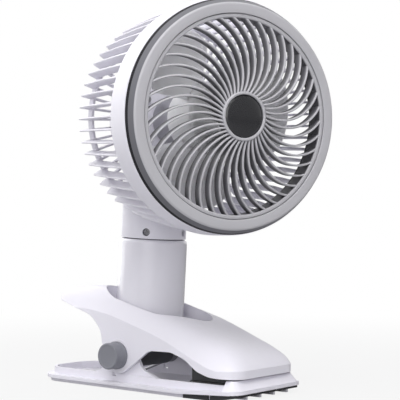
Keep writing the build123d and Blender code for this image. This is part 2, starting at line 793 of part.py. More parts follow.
def housing_screws():
    screws = []
    for angle in housing_screw_angles():
        seat = AXIS_LOCAL * Rot(0, 0, angle) * Pos(HOUSING_SCREW_R, 0, HOUSING_REAR + 3.0)
        screws.append(seat * Rot(180, 0, 0) * screw(HOUSING_SCREW_END - HOUSING_REAR - 3.0))
    return group(screws)


# ---------------------------------------------------------------- head (axis along +Z)
def cage_screw_places():
    return [Rot(0, 0, angle) * Pos(CAGE_SCREW_R, 0, 0) for angle in (30.0, 150.0, 270.0)]


def motor_screw_places():
    return [Rot(0, 0, angle) * Pos(MOTOR_SCREW_R, 0, 0) for angle in (0.0, 180.0)]


def cage_fin():
    """One radial blade with a sharp rear corner: along the side, then in across the rear to the disc."""
    rear_s = NECK_R + CAGE_BACK_GAP
    half_way = (BAND_REAR_S + rear_s) / 2
    belly = (BAND_REAR_R + TIP_R) / 2 + 0.6
    inner_r = HOUSING_R + GAP + 0.7
    points = [
        (BAND_REAR_R - BAND_T * 0.3, BAND_REAR_S + 1.5),
        (belly, half_way),
        (TIP_R, rear_s + TIP_CUT),
        (TIP_R - TIP_CUT, rear_s),
        (inner_r, rear_s),
        (inner_r, HOUSING_FRONT + CAGE_DISC_T + 1.0),
        (HOOP_R - 1.0, rear_s + 5.5),
        (belly - FIN_DEPTH, half_way),
        (BAND_REAR_R - BAND_T * 0.8, BAND_REAR_S + 1.5),
    ]
    profile = make_face(Polyline(*points, close=True))
    return extrude(Plane.XZ * profile, amount=FIN_T / 2, both=True)


def rear_cage():
    step = SEAM_S - GAP
    spigot_r = SEAM_R - BAND_T - GAP
    flare = (SEAM_R - FACE_R) / (FACE_S - BAND_T - SEAM_S)
    band = turned(
        [
            (BAND_REAR_R, BAND_REAR_S),
            (SEAM_R, step),
            (spigot_r, step),
            (spigot_r - SPIGOT_RISE * flare, step + SPIGOT_RISE),
            (spigot_r - SPIGOT_RISE * flare - 1.4, step + SPIGOT_RISE),
            (spigot_r - 1.4, step - 3.0),
            (BAND_REAR_R - BAND_T, BAND_REAR_S),
        ],
        [0.5, 0.3, 0, 0, 0, 0, 0.5],
    )
    hoop_s = NECK_R + CAGE_BACK_GAP
    hoop = tube(HOOP_R, HOOP_R - HOOP_T, hoop_s, hoop_s + HOOP_W)
    disc = tube(CAGE_DISC_R, BEARING_BOSS_R + GAP, HOUSING_FRONT, HOUSING_FRONT + CAGE_DISC_T)
    fin = cage_fin()
    fins = [Rot(0, 0, 360.0 * n / FIN_COUNT) * fin for n in range(FIN_COUNT)]
    cage = band.fuse(hoop, disc, *fins)
    for place in cage_screw_places() + motor_screw_places():
        cage -= place * rod(SCREW_R + RUN, HOUSING_FRONT - 1, HOUSING_FRONT + CAGE_DISC_T + 2)
    return cage


def cage_screws():
    front = HOUSING_FRONT + CAGE_DISC_T
    return group(place * Pos(0, 0, front) * screw(CAGE_DISC_T + 2.0) for place in cage_screw_places())


def motor_screws():
    seat = HOUSING_FRONT - WALL
    length = WALL + CAGE_DISC_T + MOTOR_T * 0.8
    return group(
        place * Pos(0, 0, seat) * Rot(180, 0, 0) * screw(length) for place in motor_screw_places()
    )


def bezel():
    """Front ring: flat face, flared side and a deep inner wall with a grille seat."""
    inner_r = FACE_INNER_R
    return turned(
        [
            (inner_r, FACE_S),
            (FACE_R, FACE_S),
            (SEAM_R, SEAM_S + SEAM_GROOVE),
            (SEAM_R - SEAM_GROOVE, SEAM_S + SEAM_GROOVE),
            (SEAM_R - SEAM_GROOVE, SEAM_S),
            (SEAM_R - BAND_T, SEAM_S),
            (FACE_R - BAND_T, FACE_S - BAND_T),
            (inner_r + BAND_T, FACE_S - BAND_T),
            (inner_r + BAND_T, GRILLE_SEAT_S - BAND_T),
            (inner_r - GRILLE_RIM_T, GRILLE_SEAT_S - BAND_T),
            (inner_r - GRILLE_RIM_T, GRILLE_SEAT_S),
            (inner_r, GRILLE_SEAT_S),
        ],
        [0.5, 1.6, 0.3, 0, 0, 0, 0, 0, 0, 0, 0, 0],
    )


def rib_point(bow, reach, centre, r):
    """Point at distance r on a circle of radius bow whose centre lies reach away."""
    angle = -acos((r * r + reach * reach - bow * bow) / (2 * r * reach)) + centre
    return (r * cos(angle), r * sin(angle))


def rib_face():
    """C-shaped rib seen from the front, a band between two arcs of one centre."""
    r0 = HUB_RING_R - HUB_RING_T / 2
    r1 = FACE_INNER_R - GAP - GRILLE_RIM_T / 2
    s0 = sin(radians(RIB_HUB_HEADING))
    s1 = sin(radians(RIB_RIM_HEADING))
    bow = (r1 * r1 - r0 * r0) / (2 * (r1 * s1 - r0 * s0))
    reach = sqrt(bow * bow - 2 * r0 * bow * s0 + r0 * r0)
    sides = []
    for side in (bow + RIB_T / 2, bow - RIB_T / 2):
        sides.append([rib_point(side, reach, 0.0, r) for r in (r0, (r0 + r1) / 2, r1)])
    long_side, short_side = sides
    edges = [
        ThreePointArc(*long_side),
        Line(long_side[2], short_side[2]),
        ThreePointArc(*short_side),
        Line(short_side[0], long_side[0]),
    ]
    return make_face(edges)


def grille_dish():
    """Space between the grille's bulged front and the same form set back."""
    rim_r = FACE_INNER_R
    hub_r = HUB_RING_R - HUB_RING_T
    low = FACE_S - 1.6
    high = FACE_S + GRILLE_CROWN
    mid = ((hub_r + rim_r) / 2, low + 0.72 * (high - low))
    front = ThreePointArc((hub_r, high), mid, (rim_r, low))
    rear = Pos(0, -RIB_DEPTH) * front
    edges = [front, Line(front @ 1, rear @ 1), rear, Line(rear @ 0, front @ 0)]
    return revolve(Plane.XZ * make_face(edges), Axis.Z)


def front_grille():
    rib = extrude(rib_face(), 40)
    low = FACE_S - 25
    ribs = [Rot(0, 0, 360.0 * n / RIB_COUNT) * Pos(0, 0, low) * rib for n in range(RIB_COUNT)]
    dish = grille_dish()
    blades = [blade & dish for blade in ribs]
    rim_r = FACE_INNER_R - GAP
    rim = turned(
        [
            (rim_r, GRILLE_SEAT_S),
            (rim_r, FACE_S - GRILLE_RIM_SET),
            (rim_r - GRILLE_RIM_T, FACE_S - GRILLE_RIM_SET),
            (rim_r - GRILLE_RIM_T, GRILLE_SEAT_S),
        ],
        [0, 0.4, 0.7, 0],
    )
    back = FACE_S + GRILLE_CROWN - RIB_DEPTH
    hub = turned(
        [
            (0, back),
            (HUB_RING_R, back),
            (HUB_RING_R, FACE_S + GRILLE_CROWN + 0.8),
            (HUB_RING_R - HUB_RING_T, FACE_S + GRILLE_CROWN + 0.8),
            (HUB_RING_R - HUB_RING_T, back + 2.0),
            (0, back + 2.0),
        ],
        [0, 0.4, 0.5, 0.5, 0, 0],
    )
    return rim.fuse(hub, *blades)


def hub_badge():
    """Bare domed disc in the middle of the grille."""
    back = FACE_S + GRILLE_CROWN - RIB_DEPTH + 2.0
    front = FACE_S + GRILLE_CROWN + 1.6
    edge_r = HUB_RING_R - HUB_RING_T - 0.15
    return turned(
        [
            (0, back),
            (edge_r, back),
            (edge_r, front - 2.0),
            (edge_r - 1.6, front - 0.7),
            (edge_r * 0.5, front),
            (0, front),
        ],
        [0, 0, 0.4, 0.4, 20.0, 0],
    )


def motor_can():
    front = MOTOR_S + MOTOR_L
    boss = BEARING_BOSS_R
    bore = BEARING_R
    can = turned(
        [
            (bore, HOUSING_FRONT - 1.5),
            (boss, HOUSING_FRONT - 1.5),
            (boss, MOTOR_S),
            (MOTOR_R, MOTOR_S),
            (MOTOR_R, front),
            (boss, front),
            (boss, front + 2.5),
            (bore, front + 2.5),
            (bore, front - MOTOR_T),
            (MOTOR_R - MOTOR_T, front - MOTOR_T),
            (MOTOR_R - MOTOR_T, MOTOR_S + MOTOR_T),
            (bore, MOTOR_S + MOTOR_T),
        ],
        [0, 0, 0, 1.0, 2.0, 0, 0.5, 0, 0, 0.5, 0, 0],
    )
    for place in motor_screw_places():
        can -= place * rod(SCREW_R + RUN, MOTOR_S - 1, MOTOR_S + MOTOR_T + 1)
    return can


def bearings():
    front = MOTOR_S + MOTOR_L
    rear_bush = tube(BEARING_R - RUN, SHAFT_R + RUN, HOUSING_FRONT - 1.5, MOTOR_S + MOTOR_T)
    front_bush = tube(BEARING_R - RUN, SHAFT_R + RUN, front - MOTOR_T, front + 2.5)
    return group([rear_bush, front_bush])


def motor_magnets():
    outer = MOTOR_R - MOTOR_T - 2 * RUN
    ring = tube(outer, outer - MAGNET_T, MOTOR_S + 4.0, MOTOR_S + MOTOR_L - 5.0)
    ring -= block(-99, 99, -4, 4, 0, 99)
    return group(ring.solids())


def motor_rotor():
    radius = MOTOR_R - MOTOR_T - MAGNET_T - 0.6
    rotor = tube(radius, SHAFT_R + RUN / 2, MOTOR_S + 5.0, MOTOR_S + MOTOR_L - 6.0)
    for angle in (0.0, 120.0, 240.0):
        rotor -= Rot(0, 0, angle) * Pos(radius, 0, MOTOR_S) * Box(radius * 0.9, 1.8, 99)
    return rotor


def motor_shaft():
    return rod(SHAFT_R, HOUSING_FRONT - 3.0, HUB_FRONT_S - HUB_T - 1.0)


def blade_section(distance):
    """Cambered strip across the blade, wider the further it lies from the axis."""
    reach = distance * BLADE_SPREAD
    lines = []
    for offset_s in (-BLADE_T / 2, BLADE_T / 2):
        lines.append(
            [
                (-reach, -BLADE_RISE / 2 + offset_s),
                (0, BLADE_CAMBER + offset_s),
                (reach, BLADE_RISE / 2 + offset_s),
            ]
        )
    low, high = lines
    edges = [
        ThreePointArc(*low),
        Line(low[2], high[2]),
        ThreePointArc(*high),
        Line(high[0], low[0]),
    ]
    plane = Plane(origin=(distance, 0, BLADE_S), x_dir=(0, 1, 0), z_dir=(1, 0, 0))
    return plane * make_face(edges)


def polar(r, angle):
    return (r * cos(radians(angle)), r * sin(radians(angle)))


def blade():
    """Broad petal cut from a twisted sheet."""
    sheet = loft([blade_section(HUB_R * 0.6), blade_section(BLADE_TIP_R * 1.1)], ruled=True)
    petal = [polar(BLADE_TIP_R * share, angle) for share, angle in PETAL]
    plan = outline(petal, [0, 16, 9, 12, 12, 0]) & Circle(BLADE_TIP_R)
    plan -= Circle(HUB_R - HUB_T / 2)
    return sheet & Pos(0, 0, BLADE_S - 30) * extrude(plan, 60)


def impeller():
    web = HUB_FRONT_S - HUB_T
    hub = turned(
        [
            (0, HUB_FRONT_S),
            (HUB_R, HUB_FRONT_S),
            (HUB_R, HUB_REAR_S),
            (HUB_R - HUB_T, HUB_REAR_S),
            (HUB_R - HUB_T, web),
            (HUB_BOSS_R, web),
            (HUB_BOSS_R, web - HUB_BOSS_L),
            (SHAFT_R + RUN / 2, web - HUB_BOSS_L),
            (SHAFT_R + RUN / 2, web - 1.0),
            (0, web - 1.0),
        ],
        [0, 3.0, 0.5, 0, 1.0, 0, 0.5, 0, 0, 0],
    )
    wing = blade()
    wings = [Rot(0, 0, BLADE_START + 360.0 * n / BLADE_COUNT) * wing for n in range(BLADE_COUNT)]
    return hub.fuse(*wings)


# ---------------------------------------------------------------- assembly
HERE = Location()
PIECES = {
    "lower_jaw": (HERE, lower_jaw),
    "lower_cover": (HERE, lower_cover),
    "cover_screws": (HERE, cover_screws),
    "rubber_feet": (HERE, feet),
    "lower_grip_pad": (HERE, lower_pad),
    "pivot_pin": (HERE, pivot_pin),
    "torsion_springs": (HERE, torsion_springs),
    "upper_jaw": (HERE, upper_jaw),
    "upper_grip_pad": (HERE, upper_pad),
    "pivot_cap": (HERE, pivot_cap),
    "tilt_knob": (HERE, tilt_knob),
    "column_shell": (LEANED, column_shell),
    "column_foot": (LEANED, column_foot),
    "foot_screws": (LEANED, foot_screws),
    "battery_cradle": (LEANED, battery_cradle),
    "battery_cells": (LEANED, battery_cells),
    "charge_board": (LEANED, charge_board),
    "usb_socket": (LEANED, usb_socket),
    "tact_switch": (LEANED, tact_switch),
    "power_button": (LEANED, power_button),
    "swivel_post": (TURNED, swivel_post),
    "swivel_clip": (TURNED, swivel_clip),
    "neck_front": (TURNED, neck_front),
    "neck_rear": (TURNED, neck_rear),
    "neck_screws": (TURNED, neck_screws),
    "housing_screws": (TURNED, housing_screws),
    "rear_cage": (AXIAL, rear_cage),
    "cage_screws": (AXIAL, cage_screws),
    "front_bezel": (AXIAL, bezel),
    "front_grille": (AXIAL, front_grille),
    "hub_badge": (AXIAL, hub_badge),
    "motor_can": (AXIAL, motor_can),
    "motor_bearings": (AXIAL, bearings),
    "motor_magnets": (AXIAL, motor_magnets),
    "motor_screws": (AXIAL, motor_screws),
    "motor_rotor": (AXIAL, motor_rotor),
    "motor_shaft": (AXIAL, motor_shaft),
    "impeller": (AXIAL, impeller),
}


def main():
    os.makedirs("parts", exist_ok=True)
    for name, (place, make) in PIECES.items():
        piece = place * make()
        piece.label = name
        export_step(piece, f"parts/{name}.step")


if __name__ == "__main__":
    main()
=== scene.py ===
import json
from math import cos, pi, radians, sin, tau

import bmesh
import bpy
import numpy as np
from mathutils import Matrix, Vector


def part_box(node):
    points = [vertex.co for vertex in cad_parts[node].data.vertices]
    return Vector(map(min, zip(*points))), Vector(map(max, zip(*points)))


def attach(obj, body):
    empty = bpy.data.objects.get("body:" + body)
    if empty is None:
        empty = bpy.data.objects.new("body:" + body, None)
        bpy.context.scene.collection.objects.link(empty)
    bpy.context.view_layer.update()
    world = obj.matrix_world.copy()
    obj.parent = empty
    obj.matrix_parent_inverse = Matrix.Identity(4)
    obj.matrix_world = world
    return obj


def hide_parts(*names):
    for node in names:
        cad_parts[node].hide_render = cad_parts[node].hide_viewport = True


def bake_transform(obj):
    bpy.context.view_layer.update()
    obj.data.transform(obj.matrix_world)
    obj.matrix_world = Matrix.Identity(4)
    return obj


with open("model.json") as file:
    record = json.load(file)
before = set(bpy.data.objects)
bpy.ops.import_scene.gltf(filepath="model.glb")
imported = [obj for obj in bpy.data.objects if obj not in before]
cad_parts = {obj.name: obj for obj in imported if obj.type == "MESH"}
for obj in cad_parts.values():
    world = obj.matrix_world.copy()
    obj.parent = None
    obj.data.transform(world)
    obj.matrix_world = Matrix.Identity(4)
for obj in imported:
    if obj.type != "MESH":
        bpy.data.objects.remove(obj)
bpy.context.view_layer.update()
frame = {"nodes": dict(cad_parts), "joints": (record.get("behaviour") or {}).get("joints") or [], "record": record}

bl_info = {
    "name": "Clip fan finish",
    "version": (1, 0, 0),
    "blender": (4, 5, 0),
    "location": "View3D > Sidebar > Clip fan",
    "description": "Surfaces, finishes and studio of a portable clip fan",
    "category": "Object",
}

MM = 0.001
MERGE = 0.002 * MM               # corners nearer than this are one corner

RING_FLARE = 3.7 * MM            # how far the ring's side flares out behind its face
FACE_TO_SEAM = 6.7 * MM          # from the ring's face back to its seam with the band
GRILLE_GAP = 0.3 * MM            # between the grille's rim and the ring's opening


# ------------ places in the frame
def unit(vector):
    """The vector at length one."""
    vector = np.array(vector, float)
    return vector / np.linalg.norm(vector)


JOINTS = {joint["name"]: joint for joint in frame["joints"]}
PIVOT = np.array(JOINTS["jaw_open"]["pos_m"], float)
AXIS_POINT = np.array(JOINTS["blade_spin"]["pos_m"], float)
AHEAD = unit(JOINTS["blade_spin"]["axis"])           # the way the head blows
UPWARD = unit(JOINTS["head_swivel"]["axis"])         # along the column
SIDEWAYS = np.cross(UPWARD, AHEAD)                   # to the head's left as it looks ahead


def frame_matrix(right, up, back, place):
    """Matrix whose columns are the three directions and the place."""
    columns = np.eye(4)
    columns[:3] = np.stack([right, up, back, place], axis=1)
    return Matrix(columns.tolist())


def in_head(x, y, s):
    """Point at x sideways, y upward and s ahead of the column's axis, in the head's own frame."""
    x, y, s = np.broadcast_arrays(x, y, s)
    return AXIS_POINT + x[..., None] * SIDEWAYS + y[..., None] * UPWARD + s[..., None] * AHEAD


def vertices(node):
    """All corners of a carried-over node, one row each."""
    mesh = frame["nodes"][node].data
    rows = np.zeros(len(mesh.vertices) * 3, np.float32)
    mesh.vertices.foreach_get("co", rows)
    return rows.reshape(-1, 3).astype(float)


def reach(node):
    """(least radius, greatest radius, rearmost, foremost) of a node about the head's axis."""
    rows = vertices(node) - AXIS_POINT
    s = rows @ AHEAD
    radius = np.linalg.norm(rows - s[:, None] * AHEAD, axis=1)
    return radius.min(), radius.max(), s.min(), s.max()


def islands(node):
    """Separate solids of a node, as arrays of corners: labels spread along the triangles until
    none changes."""
    mesh = frame["nodes"][node].data
    rows = vertices(node)
    spots, label = np.unique(np.round(rows / (MERGE / 2)), axis=0, return_inverse=True)
    label = label.reshape(-1)
    corners = np.zeros(len(mesh.polygons) * 3, np.int32)
    mesh.polygons.foreach_get("vertices", corners)
    triangles = label[corners.reshape(-1, 3)]
    names = np.arange(len(spots))
    while True:
        lowest = names[triangles].min(axis=1)
        spread = names.copy()
        for corner in range(3):
            np.minimum.at(spread, triangles[:, corner], lowest)
        if np.array_equal(spread, names):
            break
        names = spread
    return [rows[names[label] == name] for name in np.unique(names)]


# ------------ surfaces
def rounded(points, radii, steps=5):
    """Closed or open (radius, height) line with its corners turned into arcs: each corner is
    replaced by points on the circle that touches both of its sides, at equal angles. The radii are
    in millimetres. A third number of a corner, its share of paint and painted shade, goes to all
    of its points."""
    points = [np.array(p, float) for p in points]
    out = []
    corners = zip(points[-1:] + points[:-1], points, points[1:] + points[:1], radii)
    for before, corner, after, radius in corners:
        here, share_of_paint_and_shade = corner[:2], corner[2:]
        if radius <= 0:
            out.append(corner)
            continue
        radius = radius * MM
        back, on = unit(before[:2] - here), unit(after[:2] - here)
        half = np.arccos(np.clip(back @ on, -1, 1)) / 2
        centre = here + unit(back + on) * radius / np.sin(half)
        start = here + back * radius / np.tan(half) - centre
        end = here + on * radius / np.tan(half) - centre
        sweep = pi - 2 * half
        for share in np.linspace(0, 1, steps):
            a = np.sin((1 - share) * sweep) / np.sin(sweep)
            b = np.sin(share * sweep) / np.sin(sweep)
            out.append(np.append(centre + a * start + b * end, share_of_paint_and_shade))
    return np.array(out)


def around(profile, turns):
    """Surface of revolution about the head's axis: profile point (r, s) at angle t lies at
    (r cos t, r sin t, s)."""
    angle = np.linspace(0, tau, turns, endpoint=False)[:, None]
    r, s = profile[:, 0], profile[:, 1]
    return in_head(r * np.cos(angle), r * np.sin(angle), s + 0 * angle)


def plane_across(direction):
    """Two unit vectors that span the plane normal to a unit direction."""
    helper = (0.0, 0.0, 1.0) if abs(direction[2]) < 0.9 else (0.0, 1.0, 0.0)
    first = unit(np.cross(direction, helper))
    return first, np.cross(direction, first)


def around_line(profile, foot, direction, turns):
    """Surface of revolution about any line: profile point (r, h) at angle t lies at
    foot + h direction + r (cos t first + sin t second), where first and second span the plane
    normal to the direction."""
    direction = unit(direction)
    first, second = plane_across(direction)
    angle = np.linspace(0, tau, turns, endpoint=False)[:, None, None]
    r, h = profile[:, 0][None, :, None], profile[:, 1][None, :, None]
    return foot + h * direction + r * (np.cos(angle) * first + np.sin(angle) * second)


def line(r, height):
    """Rows (radius, height); either may be one number for all rows."""
    return np.stack(np.broadcast_arrays(r, height), axis=1)


def arc_height(r, near, middle, far):
    """Height at radius r of the circle through three (radius, height) points, on the middle point's
    side of its centre (cx, cy)."""
    (x1, y1), (x2, y2), (x3, y3) = near, middle, far
    turn = 2 * (x1 * (y2 - y3) + x2 * (y3 - y1) + x3 * (y1 - y2))
    q1, q2, q3 = x1 * x1 + y1 * y1, x2 * x2 + y2 * y2, x3 * x3 + y3 * y3
    cx = (q1 * (y2 - y3) + q2 * (y3 - y1) + q3 * (y1 - y2)) / turn
    cy = (q1 * (x3 - x2) + q2 * (x1 - x3) + q3 * (x2 - x1)) / turn
    size = (x1 - cx) ** 2 + (y1 - cy) ** 2
    return cy + np.sign(y2 - cy) * np.sqrt(np.maximum(size - (r - cx) ** 2, 0))


def slat_loop(thickness, depth, taper, paint_depth, steps=6):
    """Section of a thin moulded slat as (across, behind, share of paint and painted shade): a half
    circle along the front edge, straight drafted sides and a flat rear edge. The share is 1 on the
    half circle, fades to 0 at the paint's depth and goes on to -1 at the rear edge; below 0 it is
    painted shade, darker toward the rear edge like the shade between close ribs."""
    half = thickness / 2
    turn = np.linspace(0, pi, steps)
    nose = np.stack([half * np.cos(turn), half * (1 - np.sin(turn)), 1 + 0 * turn], axis=1)
    side = np.array([
        (half * 0.99, half * 1.6, 0.5), (half * 0.9, paint_depth, 0), (half * taper, depth, -1)
    ])
    return np.concatenate([nose, side * (-1, 1, 1), side[::-1]])


def merge_corners(mesh, outward=False):
    """Joins corners that lie on each other, turns faces outward if asked and shades smoothly."""
    form = bmesh.new()
    form.from_mesh(mesh)
    bmesh.ops.remove_doubles(form, verts=form.verts, dist=MERGE)
    if outward:
        bmesh.ops.recalc_face_normals(form, faces=form.faces)
    form.to_mesh(mesh)
    form.free()
    mesh.shade_smooth()


class Sheets:
    """Grids of points that become one mesh; each sheet may be closed either way."""

    def __init__(self):
        self.points, self.quads, self.shares, self.total = [], [], [], 0

    def add(self, points, close_u=False, close_v=False, share=0.0):
        """Adds grids of points: the last axis is the place, the two before it run along u and v."""
        grids = points.reshape(-1, *points.shape[-3:])
        index = self.total + np.arange(grids[..., 0].size).reshape(grids.shape[:3])
        if close_u:
            index = np.concatenate([index, index[:, :1]], axis=1)
        if close_v:
            index = np.concatenate([index, index[:, :, :1]], axis=2)
        corners = (index[:, :-1, :-1], index[:, 1:, :-1], index[:, 1:, 1:], index[:, :-1, 1:])
        self.points.append(grids.reshape(-1, 3))
        self.quads.append(np.stack(corners, axis=-1).reshape(-1, 4))
        self.shares.append(np.broadcast_to(share, grids.shape[:3]).reshape(-1))
        self.total += grids[..., 0].size
        return self

    def ring(self, profile, turns):
        """Adds a closed ring about the head's axis; a profile may bring its share of paint and painted shade."""
        share = profile[:, 2] if profile.shape[1] > 2 else 0.0
        return self.add(around(profile, turns), close_u=True, close_v=True, share=share)

    def place(self, name, sharp, body, slot, node):
        """Makes the sheets one piece in the place of a carried-over node."""
        place_piece(name, self.mesh(name, sharp), body, slot, node)

    def mesh(self, name, sharp):
        """The sheets as one mesh; edges that turn by more than sharp degrees stay sharp."""
        mesh = bpy.data.meshes.new(name)
        mesh.from_pydata(np.concatenate(self.points), [], np.concatenate(self.quads).tolist())
        # share per point: paint toward 1, painted shade toward -1
        mark = mesh.attributes.new("paint_and_shade_share", "FLOAT", "POINT")
        mark.data.foreach_set("value", np.concatenate(self.shares).astype(np.float32))
        merge_corners(mesh, outward=True)
        mesh.set_sharp_from_angle(angle=radians(sharp))
        return mesh


def capped(loops):
    """Closes a run of loops: the first and the last loop are drawn in to their own middles."""
    first, last = (
        np.broadcast_to(end.mean(axis=-2, keepdims=True), end.shape)
        for end in (loops[..., :1, :, :], loops[..., -1:, :, :])
    )
    return np.concatenate([first, loops, last], axis=-3)


def spun(points, count, start=0.0):
    """Copies of points (x, y, s) at equal steps about the head's axis, along a new first axis."""
    angle = start + np.arange(count) * tau / count
    shape = (count,) + (1,) * (points.ndim - 1)
    c, s = np.cos(angle).reshape(shape), np.sin(angle).reshape(shape)
    x, y, ahead = np.moveaxis(points, -1, 0)
    return in_head(x * c - y * s, x * s + y * c, ahead)


def add_object(name, data):
    """New object in the scene."""
    added = bpy.data.objects.new(name, data)
    bpy.context.scene.collection.objects.link(added)
    return added


def place_piece(name, mesh, body, slot, node):
    """Puts a mesh in the place of a carried-over node; one given no body is left unattached."""
    piece = add_object(name, mesh)
    mesh.materials.append(bpy.data.materials[slot])
    if body:
        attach(piece, body)
    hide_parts(node)
    return piece


# ------------ finishes
def srgb(red, green, blue):
    """Linear colour of a display colour given in steps of 255."""
    parts = np.array([red, green, blue]) / 255
    return tuple(np.where(parts > 0.04045, ((parts + 0.055) / 1.055) ** 2.4, parts / 12.92))


def add_node(tree, kind, inputs, **settings):
    """Adds a shader node and returns its outputs. Settings are the node's own properties; an input
    is linked where a socket is given for it, and otherwise set."""
    node = tree.nodes.new("ShaderNode" + kind)
    for label, value in settings.items():
        setattr(node, label, value)
    for label, value in inputs.items():
        if isinstance(value, bpy.types.NodeSocket):
            tree.links.new(value, node.inputs[label])
        else:
            node.inputs[label].default_value = value
    return node.outputs


def group_tree(name, inputs, outputs):
    """Empty shader group with float inputs {name: default} and float outputs."""
    tree = bpy.data.node_groups.new(name, "ShaderNodeTree")
    kind = "NodeSocketFloat"
    for label, value in inputs.items():
        tree.interface.new_socket(label, in_out="INPUT", socket_type=kind).default_value = value
    for label in outputs:
        tree.interface.new_socket(label, in_out="OUTPUT", socket_type=kind)
    return tree, tree.nodes.new("NodeGroupInput").outputs, tree.nodes.new("NodeGroupOutput").inputs


def math(tree, operation, a, b):
    """Result of an operation on two numbers or sockets."""
    return add_node(tree, "Math", {0: a, 1: b}, operation=operation)[0]


def noise(tree, scale, detail, stretch=None):
    """Noise on object coordinates, in cells per metre, stretched along the axes if asked."""
    place = add_node(tree, "TexCoord", {})["Object"]
    if stretch:
        place = add_node(tree, "Mapping", {"Vector": place, "Scale": stretch})["Vector"]
    return add_node(tree, "TexNoise", {"Vector": place, "Scale": scale, "Detail": detail})["Fac"]


def smooth_step(tree, value, near, far, low, high):
    """Low up to the value near, high from the value far on, and a smooth run between them."""
    inputs = {"Value": value, "From Min": near, "From Max": far, "To Min": low, "To Max": high}
    return add_node(tree, "MapRange", inputs, interpolation_type="SMOOTHSTEP")["Result"]


def soft_normal(tree, radius):
    """Normal of a copy whose edges are rounded by a radius."""
    return add_node(tree, "Bevel", {"Radius": radius}, samples=4)["Normal"]


def moulded_skin():
    """Fine spark texture of a mould, with slow waves of tone and gloss as plastic flows into it."""
    inputs = {"Grain": 2600.0, "Flow": 22.0}
    tree, ins, outs = group_tree("moulded_skin", inputs, ("Height", "Tone", "Gloss"))
    fine = noise(tree, ins["Grain"], detail=3.0)
    slow = noise(tree, ins["Flow"], detail=2.0)
    tree.links.new(math(tree, "ADD", fine, math(tree, "MULTIPLY", slow, 0.3)), outs["Height"])
    tree.links.new(slow, outs["Tone"])
    tree.links.new(math(tree, "ADD", math(tree, "MULTIPLY", fine, 0.4), slow), outs["Gloss"])


def rubbed_edges():
    """Mask of edges: where the normal of a slightly rounded copy turns away from the true one."""
    tree, ins, outs = group_tree("rubbed_edges", {"Sharpness": 5.0}, ("Mask",))
    normals = {0: soft_normal(tree, 0.5 * MM), 1: add_node(tree, "NewGeometry", {})["Normal"]}
    product = add_node(tree, "VectorMath", normals, operation="DOT_PRODUCT")["Value"]
    turned = math(tree, "MULTIPLY", math(tree, "SUBTRACT", 1.0, product), ins["Sharpness"])
    tree.links.new(math(tree, "MINIMUM", turned, 1.0), outs["Mask"])


def settled_dust():
    """Mask of faint dust: patches that lie only where the surface faces up."""
    tree, ins, outs = group_tree("settled_dust", {"Amount": 0.2}, ("Mask",))
    normal = add_node(tree, "NewGeometry", {})["Normal"]
    upward = add_node(tree, "SeparateXYZ", {0: normal})["Z"]
    facing = math(tree, "POWER", math(tree, "MAXIMUM", upward, 0.0), 3.0)
    speck = math(tree, "POWER", noise(tree, 260.0, detail=6.0), 2.0)
    patches = math(tree, "MULTIPLY", facing, speck)
    tree.links.new(math(tree, "MULTIPLY", patches, ins["Amount"]), outs["Mask"])


class Finish:
    """One material under construction: a Principled shader and the shared groups that feed it.
    The flat material that the frame brings under the same name is renamed, to free the name."""

    def __init__(self, name, colour, roughness, **constants):
        packed = bpy.data.materials.get(name)
        if packed:
            packed.name = "packed_" + name
        material = bpy.data.materials.new(name)
        material.use_nodes = True
        material.diffuse_color = self.tint = (*colour, 1)
        self.tree = material.node_tree
        self.shader = self.tree.nodes["Principled BSDF"]
        self.shader.inputs["Roughness"].default_value = roughness
        for label, value in constants.items():
            self.shader.inputs[label.replace("_", " ")].default_value = value

    def group(self, name, **values):
        """Outputs of a shared group."""
        return add_node(self.tree, "Group", values, node_tree=bpy.data.node_groups[name])

    def mixed(self, mask, over):
        """Lays another colour over what is there, by a mask."""
        inputs = {"Factor": mask, "A": self.tint, "B": (*over, 1)}
        self.tint = add_node(self.tree, "Mix", inputs, data_type="RGBA")["Result"]
        self.tree.links.new(self.tint, self.shader.inputs["Base Color"])

    def dusted(self, amount):
        """Lays pale dust on top."""
        self.mixed(self.group("settled_dust", Amount=amount)["Mask"], srgb(196, 190, 180))

    def roughened(self, value, low, high):
        """Roughness between low and high, by a value from 0 to 1."""
        inputs = {"Value": value, "To Min": low, "To Max": high}
        uneven = add_node(self.tree, "MapRange", inputs)["Result"]
        self.tree.links.new(uneven, self.shader.inputs["Roughness"])

    def bumped(self, height, depth, soft_edge=0.35 * MM):
        """Relief of a depth, on edges that look rounded by a radius."""
        inputs = {"Height": height, "Distance": depth, "Strength": 1.0}
        if soft_edge:
            inputs["Normal"] = soft_normal(self.tree, soft_edge)
        relief = add_node(self.tree, "Bump", inputs)["Normal"]
        self.tree.links.new(relief, self.shader.inputs["Normal"])


def scaled(colour, factor):
    """A lighter or darker colour."""
    return tuple(min(part * factor, 1.0) for part in colour)


def plastic(name, colour, roughness, grain=2600.0, depth=0.012, dust=0.15, wear=0.25, **constants):
    """Moulded plastic: mould texture, flow marks, edges rubbed a little paler, a trace of dust."""
    finish = Finish(name, colour, roughness, **constants)
    skin = finish.group("moulded_skin", Grain=grain)
    finish.mixed(skin["Tone"], scaled(colour, 0.94))
    edge = finish.group("rubbed_edges", Sharpness=3.0)["Mask"]
    finish.mixed(math(finish.tree, "MULTIPLY", edge, wear), scaled(colour, 1.25))
    finish.dusted(dust)
    finish.roughened(skin["Gloss"], roughness * 0.85, roughness * 1.2)
    finish.bumped(skin["Height"], depth * MM)


